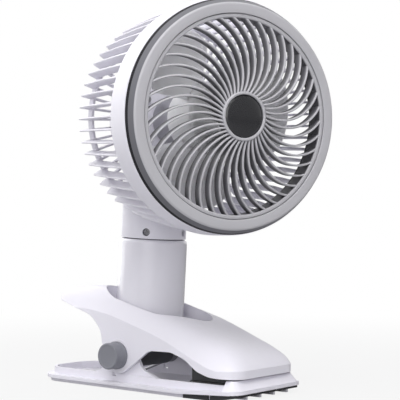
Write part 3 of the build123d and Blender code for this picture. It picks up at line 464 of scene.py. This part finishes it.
def painted(name, front, side, deep, roughness, grain=2200.0, dust=0.0, **constants):
    """Moulding whose front carries paint that fades along its sides, with painted shade in its depth:
    the share runs from 1 on the front over 0 on the sides to -1 in the depth, and each place has its
    own colour. The deep colour is painted shade, dark where the moulding lies in its own shadow."""
    finish = Finish(name, side, roughness, **constants)
    tree = finish.tree
    skin = finish.group("moulded_skin", Grain=grain)
    share = add_node(tree, "Attribute", {}, attribute_name="paint_and_shade_share")["Fac"]
    # painted shade: below a share of 0 the colour darkens toward the deep colour
    finish.mixed(math(tree, "MULTIPLY", share, -1.0), deep)
    finish.mixed(share, front)
    finish.mixed(math(tree, "MULTIPLY", skin["Tone"], 0.12), deep)
    if dust:
        finish.dusted(dust)
    finish.roughened(skin["Gloss"], roughness * 0.85, roughness * 1.15)
    finish.bumped(skin["Height"], 0.01 * MM, soft_edge=0)


def rubber(name, colour):
    """Matte rubber with a coarse pebble and pale scuffs on its edges."""
    finish = Finish(name, colour, 0.72)
    skin = finish.group("moulded_skin", Grain=1500.0, Flow=60.0)
    finish.mixed(skin["Tone"], scaled(colour, 0.7))
    scuffs = math(finish.tree, "MULTIPLY", finish.group("rubbed_edges")["Mask"], 0.35)
    finish.mixed(scuffs, srgb(112, 110, 108))
    finish.roughened(skin["Gloss"], 0.62, 0.85)
    finish.bumped(skin["Height"], 0.05 * MM)


def metal(name, colour, roughness, stretch=(1.0, 1.0, 1.0), metallic=1.0):
    """Turned or drawn metal: fine lines along the drawing direction and slightly uneven gloss."""
    finish = Finish(name, colour, roughness, Metallic=metallic)
    lines = noise(finish.tree, 900.0, detail=3.0, stretch=stretch)
    finish.mixed(lines, scaled(colour, 0.8))
    finish.roughened(lines, roughness * 0.75, roughness * 1.3)
    finish.bumped(lines, 0.006 * MM)


# ------------ what a user may change
def size(name, description, default):
    return bpy.props.FloatProperty(
        name=name, description=description, default=default, subtype="DISTANCE", unit="LENGTH"
    )


def tally(name, description, default):
    return bpy.props.IntProperty(name=name, description=description, default=default, min=1)


def paint(name, description, default):
    return bpy.props.FloatVectorProperty(
        name=name, description=description, default=default, size=3, subtype="COLOR", min=0, max=1
    )


class ClipFanSizes(bpy.types.PropertyGroup):
    rib_count: tally("Front ribs", "Swept ribs of the front grille", 42)
    rib_thickness: size("Rib thickness", "Thickness of a front rib at its front edge", 1.3 * MM)
    rib_depth: size("Rib depth", "Depth of a front rib along the head's axis", 6.8 * MM)
    paint_depth: size("Paint depth", "How far the paint reaches along a rib's sides", 2.6 * MM)
    rib_crown: size("Grille crown", "How far the grille bulges ahead of the ring's face", 7.5 * MM)
    fin_count: tally("Rear fins", "Pointed fins of the rear cage", 57)
    fin_thickness: size("Fin thickness", "Thickness of a rear fin", 1.5 * MM)
    blade_count: tally("Blades", "Blades of the impeller", 3)
    blade_start: bpy.props.FloatProperty(
        name="First blade", description="Angle at which the first blade rests",
        default=radians(9), subtype="ANGLE"
    )
    blade_thickness: size("Blade thickness", "Greatest thickness of a blade", 1.6 * MM)
    band_wall: size("Band wall", "Wall of the ring and of the cage's band", 2.0 * MM)
    # the groove's dark is painted shadow, from the deep colour
    seam_groove: size("Seam groove", "Width of the dark groove between ring and band", 1.9 * MM)
    rim_wall: size("Grille rim", "Width of the grille's outer rim", 2.4 * MM)
    hub_wall: size("Hub ring", "Width of the ring round the badge", 1.8 * MM)
    pad_groove: size("Pad groove", "Depth of the grooves in the lower grip pad", 0.4 * MM)
    pad_pitch: size("Pad pitch", "Distance from one groove of the pad to the next", 2.6 * MM)


class ClipFanColours(bpy.types.PropertyGroup):
    shell: paint("Shell", "White moulded shells", srgb(236, 234, 243))
    column: paint("Column", "Glossy column", srgb(236, 234, 243))
    ring: paint("Ring", "Silver grey paint of the front ring", srgb(190, 189, 194))
    ring_side: paint("Ring side", "Flared side of the front ring", srgb(112, 112, 118))
    # rib sides: partly paint, partly painted shade where close ribs shade each other
    rib_side_and_shade: paint("Rib sides", "Thinly painted sides of the front ribs", srgb(104, 103, 109))
    # painted shade: dark colour for the ribs' depth, the ring's groove and inner walls, the grille's rim and hub
    # walls
    rib_painted_shade: paint("Rib depth", "Bare moulding behind the paint", srgb(40, 39, 43))
    badge: paint("Badge", "Centre badge", srgb(32, 32, 36))
    blade: paint("Blades", "Impeller", srgb(246, 246, 250))
    knob: paint("Knob", "Tilt knob and button", srgb(128, 129, 137))
    rubber: paint("Rubber", "Feet and pads", srgb(56, 56, 58))


class FanOperator(bpy.types.Operator):
    """Base of the fan's steps: each builds a part of the scene from its sizes and colours"""
    bl_options = {"REGISTER", "UNDO"}

    def execute(self, context):
        self.build(context.scene)
        return {"FINISHED"}


# ------------ operators
class CLIPFAN_OT_finishes(FanOperator):
    """Builds the shared effects and every material"""
    bl_idname = "clipfan.finishes"
    bl_label = "Finishes"

    def build(self, scene):
        moulded_skin()
        rubbed_edges()
        settled_dust()
        c = scene.clip_fan_colours
        # deep is the painted shade colour of the ring's and the grille's finishes
        ring, deep = tuple(c.ring), tuple(c.rib_painted_shade)
        plastic("white_plastic", tuple(c.shell), 0.42, Specular_IOR_Level=0.35)
        plastic("gloss_white", tuple(c.column), 0.16, depth=0.002,
                Coat_Weight=0.6, Coat_Roughness=0.05)
        painted("grey_plastic", ring, tuple(c.ring_side), deep, 0.38, grain=5200.0, dust=0.1,
                Specular_IOR_Level=0.2)
        plastic("badge_plastic", tuple(c.badge), 0.24, depth=0.004,
                Coat_Weight=0.5, Coat_Roughness=0.12)
        plastic("blade_plastic", tuple(c.blade), 0.34, depth=0.006, dust=0.0, Subsurface_Weight=0.8,
                Subsurface_Scale=5 * MM, Subsurface_Radius=(1.0, 1.0, 1.0))
        plastic("knob_plastic", tuple(c.knob), 0.45, depth=0.02)
        plastic("inner_plastic", srgb(70, 70, 74), 0.55, depth=0.02)
        plastic("cell_wrap", srgb(60, 110, 170), 0.3, wear=0.05)
        plastic("board_green", srgb(30, 92, 60), 0.4, wear=0.05)
        painted("grille_plastic", ring, tuple(c.rib_side_and_shade), deep, 0.42)
        rubber("black_rubber", tuple(c.rubber))
        metal("screw_steel", srgb(170, 170, 173), 0.5, metallic=0.5)
        metal("bright_steel", srgb(176, 176, 180), 0.3, (0.2, 1.0, 1.0))
        metal("spring_steel", srgb(150, 150, 154), 0.28, (1.0, 3.0, 3.0))
        metal("rotor_steel", srgb(120, 120, 124), 0.4)
        metal("bronze", srgb(176, 130, 78), 0.4)
        plastic("magnet", srgb(52, 52, 56), 0.6, depth=0.03, wear=0.1)
        for entry in frame["record"]["subparts"]:
            materials = frame["nodes"][entry["node"]].data.materials
            materials.clear()
            materials.append(bpy.data.materials[entry["material_slot"]])


class CLIPFAN_OT_ring(FanOperator):
    """Front ring: a revolved profile with a flat face, a flared side that ends in a groove at the
    seam, and a deep inner wall; the groove carries a painted shadow and the inner wall painted shade"""
    bl_idname = "clipfan.ring"
    bl_label = "Front ring"

    def build(self, scene):
        wall, groove = scene.clip_fan_sizes.band_wall, scene.clip_fan_sizes.seam_groove
        sunk, lip = 0.35 * MM, 1.5 * MM  # depth of the groove, painted edge of the opening
        inside_solid = 0.08 * MM         # keeps the surface within the solid it stands for
        painted_share = 0.17             # of the flare, behind the face's edge
        inner, outer, rear, face = reach("front_bezel")
        outer -= inside_solid
        opening = reach("front_grille")[1] + GRILLE_GAP
        edge = np.array([outer - RING_FLARE, face])
        seam_s = face - FACE_TO_SEAM
        flare = np.array([outer, seam_s]) - edge
        paint_end = edge + painted_share * flare
        flare_end = np.array([outer, seam_s]) - groove / FACE_TO_SEAM * flare
        profile = rounded(
            [
                (opening, face, 1),
                (*edge, 1),
                (*paint_end, 0),
                (*flare_end, 0),
                # share -1 from here on: painted shadow in the groove and painted shade on the ring's inner walls
                (flare_end[0] - sunk, flare_end[1], -1),
                (outer - sunk, seam_s, -1),
                (outer - wall, seam_s, -1),
                (edge[0] - wall, face - wall, -1),
                (opening + wall, face - wall, -1),
                (opening + wall, rear, -1),
                (inner, rear, -1),
                (inner, rear + wall, -1),
                (opening, rear + wall, -1),
                (opening, face - lip, 0),
            ],
            (0.45, 1.5, 0, 0.2, 0, 0, 0.2, 0.2, 0.2, 0.4, 0.4, 0.4, 0.2, 0),
        )
        sheets = Sheets().ring(profile, 224)
        sheets.place("front_ring", 50, "head", "grey_plastic", "front_bezel")


def rib_plan(r_hub, r_rim, count):
    """Centre line of one rib seen from the front, as x, y, r and the unit normal of the line: an
    arc that leaves the hub leaning 30 degrees one way off the radius and meets the rim 48 degrees
    the other way. Its circle has radius bow and its centre lies at the distance away from the axis,
    so that the polar angle at distance r is minus the angle whose cosine is
    (r r + away away - bow bow) / (2 r away)."""
    s_hub, s_rim = sin(radians(-30)), sin(radians(48))
    bow = (r_rim**2 - r_hub**2) / (2 * (r_rim * s_rim - r_hub * s_hub))
    away = np.sqrt(bow**2 - 2 * r_hub * bow * s_hub + r_hub**2)
    r = np.linspace(r_hub, r_rim, count)
    angle = -np.arccos((r * r + away * away - bow * bow) / (2 * r * away))
    x, y = r * np.cos(angle), r * np.sin(angle)
    dx, dy = np.gradient(x), np.gradient(y)
    length = np.hypot(dx, dy)
    return x, y, r, -dy / length, dx / length


class CLIPFAN_OT_grille(FanOperator):
    """Front grille: swept ribs under a bulged dish, with their rim and hub ring"""
    bl_idname = "clipfan.grille"
    bl_label = "Front grille"

    def build(self, scene):
        s = scene.clip_fan_sizes
        hub_wall, rim_wall, taper = s.hub_wall, s.rim_wall, 0.62
        _, rim_out, seat, _ = reach("front_grille")
        face = reach("front_bezel")[3]
        hub_out = reach("hub_badge")[1] + 1.95 * MM      # the ring's wall and a little play
        rim_front, dish_edge = face - 0.5 * MM, face - 1.6 * MM
        crown = face + s.rib_crown
        near, far = (hub_out - hub_wall, crown), (rim_out + GRILLE_GAP, dish_edge)
        bulge = 0.72                     # height halfway out, as a share of the crown's
        middle = ((near[0] + far[0]) / 2, dish_edge + bulge * (crown - dish_edge))
        x, y, r, nx, ny = rib_plan(hub_out - hub_wall / 2, rim_out - rim_wall / 2, 30)
        front = arc_height(r, near, middle, far)
        across, behind, share = slat_loop(s.rib_thickness, s.rib_depth, taper, s.paint_depth).T
        x, y, nx, ny, front = (row[:, None] for row in (x, y, nx, ny, front))
        points = np.stack([x + nx * across, y + ny * across, front - behind], axis=-1)
        sheets = Sheets().add(spun(capped(points), s.rib_count), close_v=True, share=share)
        # painted shade: the rim's walls darken from the front toward the seat
        rim_in, shade_depth = rim_out - rim_wall, 1.6 * MM
        rim = rounded(
            [
                (rim_out, seat, -1), (rim_out, rim_front, 0.8), (rim_in, rim_front, 1),
                (rim_in, rim_front - shade_depth, -0.4), (rim_in, seat, -1),
            ],
            (0.2, 0.4, 0.7, 0, 0.2),
        )
        hub_in, hub_front = hub_out - hub_wall, crown + 0.8 * MM
        back, floor = crown - s.rib_depth, 2.0 * MM
        # painted shade: the hub ring's inner wall and floor go dark round the badge
        hub = rounded(
            [
                (0, back, -1),
                (hub_out, back, -1),
                (hub_out, crown - 1.5 * MM, 0.3),
                (hub_out, hub_front, 1),
                (hub_in, hub_front, 1),
                (hub_in, crown - 1.0 * MM, -1),
                (hub_in, back + floor, -1),
                (0, back + floor, -1),
            ],
            (0, 0.5, 0, 0.6, 0.6, 0, 0.2, 0),
        )
        sheets.ring(rim, 200).ring(hub, 96)
        sheets.place("front_ribs", 45, "head", "grille_plastic", "front_grille")


class CLIPFAN_OT_badge(FanOperator):
    """Bare domed badge: a shallow bevel round a crowned face, with a fine turned step"""
    bl_idname = "clipfan.badge"
    bl_label = "Centre badge"

    def build(self, scene):
        _, edge, back, front = reach("hub_badge")
        share = np.linspace(0, 1, 24)
        bevel, crown_r = 1.2 * MM, edge - 1.7 * MM
        crown_drop, rim_drop, foot_drop = 1.1 * MM, 1.25 * MM, 2.0 * MM
        crown = line(crown_r * share, front - crown_drop * share**2.2)[::-1]
        rim = rounded(
            [(0, back), (edge, back), (edge, front - foot_drop), (edge - bevel, front - rim_drop)],
            (0, 0.2, 0.5, 0),
        )
        profile = np.concatenate([rim, crown])
        sheets = Sheets().add(around(profile, 128), close_u=True)
        sheets.place("centre_badge", 50, "head", "badge_plastic", "hub_badge")


class CLIPFAN_OT_impeller(FanOperator):
    """Impeller: a cup hub and broad twisted blades whose thickness fades to their rounded edges"""
    bl_idname = "clipfan.impeller"
    bl_label = "Impeller"

    def blade(self, tip, hub, middle, thickness):
        """Blade points (x, y, s): at share u from the root to the tip and v from one edge to the
        other, the polar angle runs between two edge lines, and the height above the middle is a
        parabola of q = tan(angle) / steep that is bulge at 0, rise at 1 and minus rise at -1. The
        two faces part by an oval of the blade's thickness."""
        rise, bulge, steep = 12.5, 2.5, 1.05
        root = hub * 0.92
        u = np.linspace(0, 1, 26)[:, None]
        v = np.linspace(-1, 1, 40)[None, :]
        corner = 1 - 0.13 * np.abs(v) ** 7
        r = root + (tip * corner - root) * u
        shares = (0.0, 0.35, 0.6, 0.8, 0.92, 1.0)
        low = np.interp(u, shares, np.radians([-29, -35, -39, -40, -38, -33]))
        high = np.interp(u, shares, np.radians([27, 31, 34, 35, 34, 29]))
        angle = low + (high - low) * (v + 1) / 2
        q = np.tan(angle) / steep
        height = middle + (bulge + rise * q - bulge * q * q) * MM
        oval = np.sqrt(np.clip(1 - np.abs(v) ** 10, 0, 1)) * np.sqrt(np.clip(1 - u**30, 0, 1))
        half = thickness / 2 * oval
        x, y = r * np.cos(angle), r * np.sin(angle)
        return np.stack([np.stack([x, y, height + side], axis=-1) for side in (half, -half)])

    def build(self, scene):
        s = scene.clip_fan_sizes
        _, tip, rear, front = reach("impeller")
        blade_middle, hub_r, boss_r, shaft_r = 73.0 * MM, 22.5 * MM, 5.0 * MM, 1.52 * MM
        wall, boss_start, bore_play = 2.0 * MM, 15 * MM, 1 * MM
        web, boss_rear = front - wall, rear + wall + boss_start
        shaft_end = web - bore_play
        hub = rounded(
            [
                (0, front), (hub_r, front), (hub_r, rear), (hub_r - wall, rear),
                (hub_r - wall, web), (boss_r, web), (boss_r, boss_rear), (shaft_r, boss_rear),
                (shaft_r, shaft_end), (0, shaft_end),
            ],
            (0, 3.2, 0.8, 0.8, 1.2, 0.6, 0.6, 0.3, 0.1, 0),
            7,
        )
        sheets = Sheets().add(around(hub, 128), close_u=True)
        faces = self.blade(tip, hub_r, blade_middle, s.blade_thickness)
        sheets.add(spun(faces, s.blade_count, s.blade_start))
        sheets.place("impeller_blades", 55, "rotor", "blade_plastic", "impeller")


class CLIPFAN_OT_cage(FanOperator):
    """Rear cage: band, pointed fins, stiffening hoop and the disc that carries the motor"""
    bl_idname = "clipfan.cage"
    bl_label = "Rear cage"

    def fin(self, thickness, band_r, band_s, tip_r, tip_s, rear, disc_r, hoop_r):
        """Fin points (x, y, s): an outer line runs from the band to the pointed tip and across the
        rear to the disc, an inner line follows it at the fin's depth, and a squared oval joins the
        two."""
        bow, depth, hoop_depth, disc_depth = 0.6 * MM, 6.5 * MM, 5.5 * MM, 3.7 * MM
        along = np.linspace(0, 1, 12)
        side_s = band_s + (tip_s - band_s) * along
        halfway = ((band_s + tip_s) / 2, (band_r + tip_r) / 2 + bow)
        side_r = arc_height(side_s, (band_s, band_r), halfway, (tip_s, tip_r))
        bottom_r = np.linspace(hoop_r, disc_r, 8)
        outer = np.concatenate([
            line(side_r, side_s),
            line(tip_r - np.array([0.5, 2.5]) * MM, rear),
            line(bottom_r, rear),
        ])
        inner_r, inner_s = tip_r - depth, rear + depth
        inner = np.concatenate([
            line(side_r - depth * np.minimum(1, 0.25 + 2.4 * along), np.maximum(side_s, inner_s)),
            line(inner_r - np.array([0, 0.6]) * MM, inner_s - np.array([0, 0.8]) * MM),
            line(bottom_r - 1.0 * MM, rear + np.linspace(hoop_depth, disc_depth, 8)),
        ])
        turn = np.linspace(0, tau, 10, endpoint=False)
        c, s = np.cos(turn), np.sin(turn)
        share = (1 - np.sign(c) * np.abs(c) ** 0.55) / 2
        across = thickness / 2 * np.sign(s) * np.abs(s) ** 0.45
        section = outer[:, None] + (inner - outer)[:, None] * share[None, :, None]
        r, height = np.moveaxis(section, -1, 0)
        return np.stack([r, np.broadcast_to(across, r.shape), height], axis=-1)

    def build(self, scene):
        s = scene.clip_fan_sizes
        wall, seam_gap, band_length = s.band_wall, 0.3 * MM, 17.9 * MM
        _, band_r, rear, _ = reach("rear_cage")
        _, ring_r, _, face = reach("front_bezel")
        seam_s = face - FACE_TO_SEAM
        band_s, step = seam_s - band_length, seam_s - seam_gap
        band = rounded(
            [
                (band_r, band_s), (ring_r, step), (ring_r - wall - 0.3 * MM, step),
                (ring_r - wall - 1.7 * MM, step - 3 * MM), (band_r - wall, band_s),
            ],
            (0.7, 0.4, 0.1, 0.4, 0.7),
        )
        disc_r, disc_rear, disc_front, bore = 33.0 * MM, 23 * MM, 25.5 * MM, 5.3 * MM
        disc = rounded(
            [(disc_r, disc_rear), (disc_r, disc_front), (bore, disc_front), (bore, disc_rear)],
            (0.5, 0.8, 0.3, 0.3),
        )
        hoop_out, hoop_in, hoop_front = 62 * MM, 60.5 * MM, rear + 7 * MM
        hoop = rounded(
            [(hoop_out, rear), (hoop_out, hoop_front), (hoop_in, hoop_front), (hoop_in, rear)],
            (0.4, 0.4, 0.4, 0.4),
        )
        in_band = (band_r - 0.6 * MM, band_s + 1.5 * MM)
        tip = (band_r - 4.6 * MM, rear + 0.5 * MM)
        in_disc, in_hoop = disc_r - 1.5 * MM, hoop_out - 0.5 * MM
        fins = self.fin(s.fin_thickness, *in_band, *tip, rear, in_disc, in_hoop)
        sheets = Sheets().ring(band, 224).add(spun(capped(fins), s.fin_count), close_v=True)
        sheets.ring(hoop, 160).ring(disc, 128)
        sheets.place("rear_fins", 45, "head", "white_plastic", "rear_cage")


class CLIPFAN_OT_knob(FanOperator):
    """Tilt knob: a turned form with a dished face, a soft edge and a flange at its foot"""
    bl_idname = "clipfan.knob"
    bl_label = "Tilt knob"

    def build(self, scene):
        low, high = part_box("tilt_knob")
        length, radius = high[0] - low[0], (high[2] - low[2]) / 2
        bore, flange, body_r = 3.02 * MM, 2.6 * MM, radius - 0.5 * MM
        dish_edge, dish_middle, bore_end = length - 0.25 * MM, length - 0.45 * MM, length - 2.5 * MM
        profile = rounded(
            [
                (bore, 0), (radius, 0), (radius, flange), (body_r, flange), (body_r, length),
                (body_r * 0.86, length), (body_r * 0.80, dish_edge), (0, dish_middle),
                (0, bore_end), (bore, bore_end),
            ],
            (0, 0.5, 0.5, 0.2, 0.9, 0.3, 0.3, 0, 0, 0),
        )
        foot = np.array([high[0], PIVOT[1], PIVOT[2]])
        turned = around_line(profile, foot, (-1, 0, 0), 128)
        sheets = Sheets().add(turned, close_u=True, close_v=True)
        sheets.place("knob_cap", 40, "knob", "knob_plastic", "tilt_knob")


class CLIPFAN_OT_pads(FanOperator):
    """Lower grip pad: a block of rubber whose upper face has a row of rounded grooves"""
    bl_idname = "clipfan.pads"
    bl_label = "Lower grip pad"

    def build(self, scene):
        """Height field over the pad's plan: the upper face is lowered by a cosine groove across the
        pad, and falls away by an arc within the edge radius of the plan's border."""
        s = scene.clip_fan_sizes
        low, high = (np.array(corner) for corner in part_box("lower_grip_pad"))
        edge_radius, edge_drop, groove_start, groove_run = 0.6 * MM, 0.35 * MM, 1.5 * MM, 1 * MM
        v, u = np.meshgrid(np.linspace(0, 1, 90), np.linspace(0, 1, 40), indexing="ij")
        x = low[0] + (high[0] - low[0]) * u
        y = low[1] + (high[1] - low[1]) * v
        border = np.minimum.reduce([x - low[0], high[0] - x, y - low[1], high[1] - y])
        outward = 1 - np.clip(border / edge_radius, 0, 1)
        fall = edge_drop * (1 - np.sqrt(np.clip(1 - outward**2, 0, 1)))
        wave = np.clip(np.cos(tau * (y - low[1]) / s.pad_pitch) * 2 - 1, 0, 1)
        dip = s.pad_groove * wave * np.clip((border - groove_start) / groove_run, 0, 1) + fall
        face = np.stack([x, y, high[2] - dip], axis=-1)
        base = np.stack([x, y, np.full(x.shape, low[2])], axis=-1)
        shell = np.concatenate([base[:, :1], face, base[:, -1:]], axis=1)
        shell = np.concatenate([shell[:1], shell, shell[-1:]], axis=0)
        shell[[0, -1], :, 2] = low[2]
        sheets = Sheets().add(shell).add(base)
        sheets.place("lower_grip_face", 40, "base", "black_rubber", "lower_grip_pad")


class CLIPFAN_OT_screws(FanOperator):
    """Pan-head screws with cross recesses, one on each screw of the carried-over groups"""
    bl_idname = "clipfan.screws"
    bl_label = "Screws"

    def head(self, corners, direction):
        """Screw points: rings about the screw's own line. Across the head the height is a dome less
        a cross recess, which is cut off at a distance beside each arm and at each arm's end."""
        direction = unit(direction)
        along = corners @ direction
        top, foot = along.max(), along.min()
        near_top = corners[along > top - 0.2 * MM]       # its middle lies on the screw's line
        centre = (near_top.min(axis=0) + near_top.max(axis=0)) / 2
        centre = centre - (centre @ direction) * direction
        spread = corners - along[:, None] * direction - centre
        head_r = np.linalg.norm(spread, axis=1).max()
        first, second = plane_across(direction)
        turn = np.linspace(0, tau, 48, endpoint=False)[None, :]
        c, s = np.cos(turn), np.sin(turn)
        share = np.linspace(0, 1, 14)[:, None]
        x, y = head_r * share * c, head_r * share * s
        beside_arm = np.minimum(np.abs(x), np.abs(y)) / (0.17 * head_r)
        along_arm = np.maximum(np.abs(x), np.abs(y)) / (0.6 * head_r)
        recess = np.clip(1.6 - 1.3 * beside_arm, 0, 1) * np.clip(4 - 3.4 * along_arm, 0, 1)
        dome_drop, recess_depth, edge, under = 0.45 * MM, 0.8 * MM, 0.7 * MM, 1.5 * MM
        face = top - dome_drop * share**3 - recess_depth * recess
        rings = [np.stack([x, y, face], axis=-1)]
        length = top - foot
        for ratio, down in ((1, edge), (1, under), (0.56, under), (0.54, length), (0, length)):
            r = head_r * ratio
            rings.append(np.stack([r * c, r * s, np.full(turn.shape, top - down)], axis=-1))
        across, up, level = (part[..., None] for part in np.moveaxis(np.concatenate(rings), -1, 0))
        return centre + across * first + up * second + level * direction

    def build(self, scene):
        outward = {
            "cover_screws": ("base", lambda middle: np.array([0, 0, -1.0])),
            "foot_screws": ("column", lambda middle: -UPWARD),
            "cage_screws": ("head", lambda middle: AHEAD),
            "motor_screws": ("head", lambda middle: -AHEAD),
            "housing_screws": ("head", lambda middle: -AHEAD),
            "neck_screws": ("head", self.from_column),
        }
        for node, (body, rule) in outward.items():
            sheets = Sheets()
            for corners in islands(node):
                middle = (corners.min(axis=0) + corners.max(axis=0)) / 2
                sheets.add(self.head(corners, rule(middle)), close_v=True)
            name = node.replace("_screws", "_screw_set")
            place_piece(name, sheets.mesh(node + "_heads", 35), body, "screw_steel", node)

    def from_column(self, middle):
        """Straight away from the column's axis."""
        arm = middle - AXIS_POINT
        return arm - (arm @ UPWARD) * UPWARD


class CLIPFAN_OT_springs(FanOperator):
    """Clamp springs: the carried-over wire with its seams merged, placed as one piece without a body"""
    bl_idname = "clipfan.springs"
    bl_label = "Clamp springs"

    def build(self, scene):
        mesh = frame["nodes"]["torsion_springs"].data.copy()
        merge_corners(mesh)
        mesh.name = "clamp_springs"
        mesh.materials.clear()
        piece = place_piece("clamp_springs", mesh, None, "spring_steel", "torsion_springs")
        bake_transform(piece)


class CLIPFAN_OT_studio(FanOperator):
    """Pale floor, soft lights and the camera at the photograph's angle"""
    bl_idname = "clipfan.studio"
    bl_label = "Studio"

    def floor(self):
        """Flat pale floor that the camera sees nearly white, with the soft shadow left on it;
        further out it fades into the white background."""
        half, fade_start, fade_end, least_glow = 4.0, 0.15, 0.75, 0.86
        corners = [(-half, -half, 0), (half, -half, 0), (half, half, 0), (-half, half, 0)]
        mesh = bpy.data.meshes.new("floor")
        mesh.from_pydata(corners, [], [(0, 1, 2, 3)])
        floor = add_object("floor", mesh)
        material = bpy.data.materials.new("pale_floor")
        material.use_nodes = True
        tree = material.node_tree
        shader = tree.nodes["Principled BSDF"]
        shader.inputs["Base Color"].default_value = (0.42, 0.42, 0.43, 1)
        shader.inputs["Roughness"].default_value = 0.9
        shader.inputs["Specular IOR Level"].default_value = 0.1
        glow = add_node(tree, "Emission", {"Strength": 1.0})[0]
        place = add_node(tree, "TexCoord", {})["Object"]
        distance = add_node(tree, "VectorMath", {0: place}, operation="LENGTH")["Value"]
        share = smooth_step(tree, distance, fade_start, fade_end, least_glow, 1.0)
        seen = math(tree, "MULTIPLY", add_node(tree, "LightPath", {})["Is Camera Ray"], share)
        mix = add_node(tree, "MixShader", {0: seen, 1: shader.outputs[0], 2: glow})[0]
        tree.links.new(mix, tree.nodes["Material Output"].inputs["Surface"])
        mesh.materials.append(material)

    def world(self):
        """White to the camera. Gloss sees a white backdrop behind the object and a dim room in
        front of it, and everything else gets a plain grey."""
        toward_backdrop, edge_start, edge_end, room = (0.374, 0.927, 0.0), 0.21, 0.27, 0.42
        world = bpy.data.worlds.new("studio_world")
        bpy.context.scene.world = world
        world.use_nodes = True
        tree = world.node_tree
        back = tree.nodes["Background"]
        back.inputs["Color"].default_value = (1, 1, 1, 1)
        ray = add_node(tree, "TexCoord", {})["Generated"]
        rays = {0: ray, 1: toward_backdrop}
        facing = add_node(tree, "VectorMath", rays, operation="DOT_PRODUCT")["Value"]
        backdrop = smooth_step(tree, facing, edge_start, edge_end, 0.0, 1.0)
        path = add_node(tree, "LightPath", {})
        seen = math(tree, "MAXIMUM", path["Is Camera Ray"], path["Is Transmission Ray"])
        glossy = math(tree, "MULTIPLY", path["Is Glossy Ray"], backdrop)
        level = math(tree, "MAXIMUM", math(tree, "MAXIMUM", seen, glossy), room)
        tree.links.new(level, back.inputs["Strength"])

    def lamps(self):
        """Square lamps that face the fan: name, place, width in metres and power in watts."""
        target = (0, -0.03, 0.13)
        for name, place, width, power in (
            ("key_light", (-0.62, -0.35, 1.25), 1.0, 14.0),
            ("front_light", (-1.15, -0.65, 0.4), 0.8, 5.0),
            ("fill_light", (1.0, -1.1, 0.7), 1.0, 1.5),
            ("back_light", (0.2, 1.4, 0.6), 1.8, 14.0),
        ):
            data = bpy.data.lights.new(name, "AREA")
            data.shape = "SQUARE"
            data.size = width
            data.energy = power
            lamp = add_object(name, data)
            back = unit(np.array(place) - np.array(target))
            right = unit(np.cross((0, 0, 1), back))
            lamp.matrix_world = frame_matrix(right, np.cross(back, right), back, place)

    def camera(self):
        """Camera on the photograph's side: azimuth, distance and height as fitted to the picture,
        with the pivot's upright at its place in the 400 pixel frame."""
        picture, focal = 400, 1160.0
        pivot_x, horizon_y = 148.35, 232.0
        azimuth, distance, height = radians(-52), 0.8, 0.1045
        back = np.array([sin(azimuth), -cos(azimuth), 0])
        right = np.array([cos(azimuth), sin(azimuth), 0])
        tilt = np.arctan2(horizon_y - picture / 2, focal)
        forward = -back * np.cos(tilt) + np.array([0, 0, np.sin(tilt)])
        aside = (picture / 2 - pivot_x) / focal * distance
        place = back * distance + right * aside + np.array([0, 0, height])
        data = bpy.data.cameras.new("camera")
        data.sensor_width = 36.0
        data.lens = focal / picture * data.sensor_width
        camera = add_object("camera", data)
        camera.matrix_world = frame_matrix(right, np.cross(right, forward), -forward, place)
        bpy.context.scene.camera = camera

    def build(self, scene):
        scene.view_settings.view_transform = "Standard"
        self.floor()
        self.world()
        self.camera()
        self.lamps()


STEPS = (
    CLIPFAN_OT_finishes,
    CLIPFAN_OT_ring,
    CLIPFAN_OT_grille,
    CLIPFAN_OT_badge,
    CLIPFAN_OT_impeller,
    CLIPFAN_OT_cage,
    CLIPFAN_OT_knob,
    CLIPFAN_OT_pads,
    CLIPFAN_OT_screws,
    CLIPFAN_OT_springs,
    CLIPFAN_OT_studio,
)


class CLIPFAN_PT_panel(bpy.types.Panel):
    """Buttons for the fan's steps, and its sizes and colours"""
    bl_idname = "CLIPFAN_PT_panel"
    bl_label = "Clip fan"
    bl_space_type = "VIEW_3D"
    bl_region_type = "UI"
    bl_category = "Clip fan"

    def draw(self, context):
        for step in STEPS:
            self.layout.operator(step.bl_idname)
        for values in (context.scene.clip_fan_sizes, context.scene.clip_fan_colours):
            box = self.layout.box()
            for name in values.__annotations__:
                box.prop(values, name)


CLASSES = (ClipFanSizes, ClipFanColours, *STEPS, CLIPFAN_PT_panel)


def register():
    for part in CLASSES:
        bpy.utils.register_class(part)
    bpy.types.Scene.clip_fan_sizes = bpy.props.PointerProperty(type=ClipFanSizes)
    bpy.types.Scene.clip_fan_colours = bpy.props.PointerProperty(type=ClipFanColours)


def unregister():
    del bpy.types.Scene.clip_fan_colours
    del bpy.types.Scene.clip_fan_sizes
    for part in reversed(CLASSES):
        bpy.utils.unregister_class(part)


def main():
    register()
    for step in STEPS:
        family, name = step.bl_idname.split(".")
        getattr(getattr(bpy.ops, family), name)()


if __name__ == "__main__":
    main()
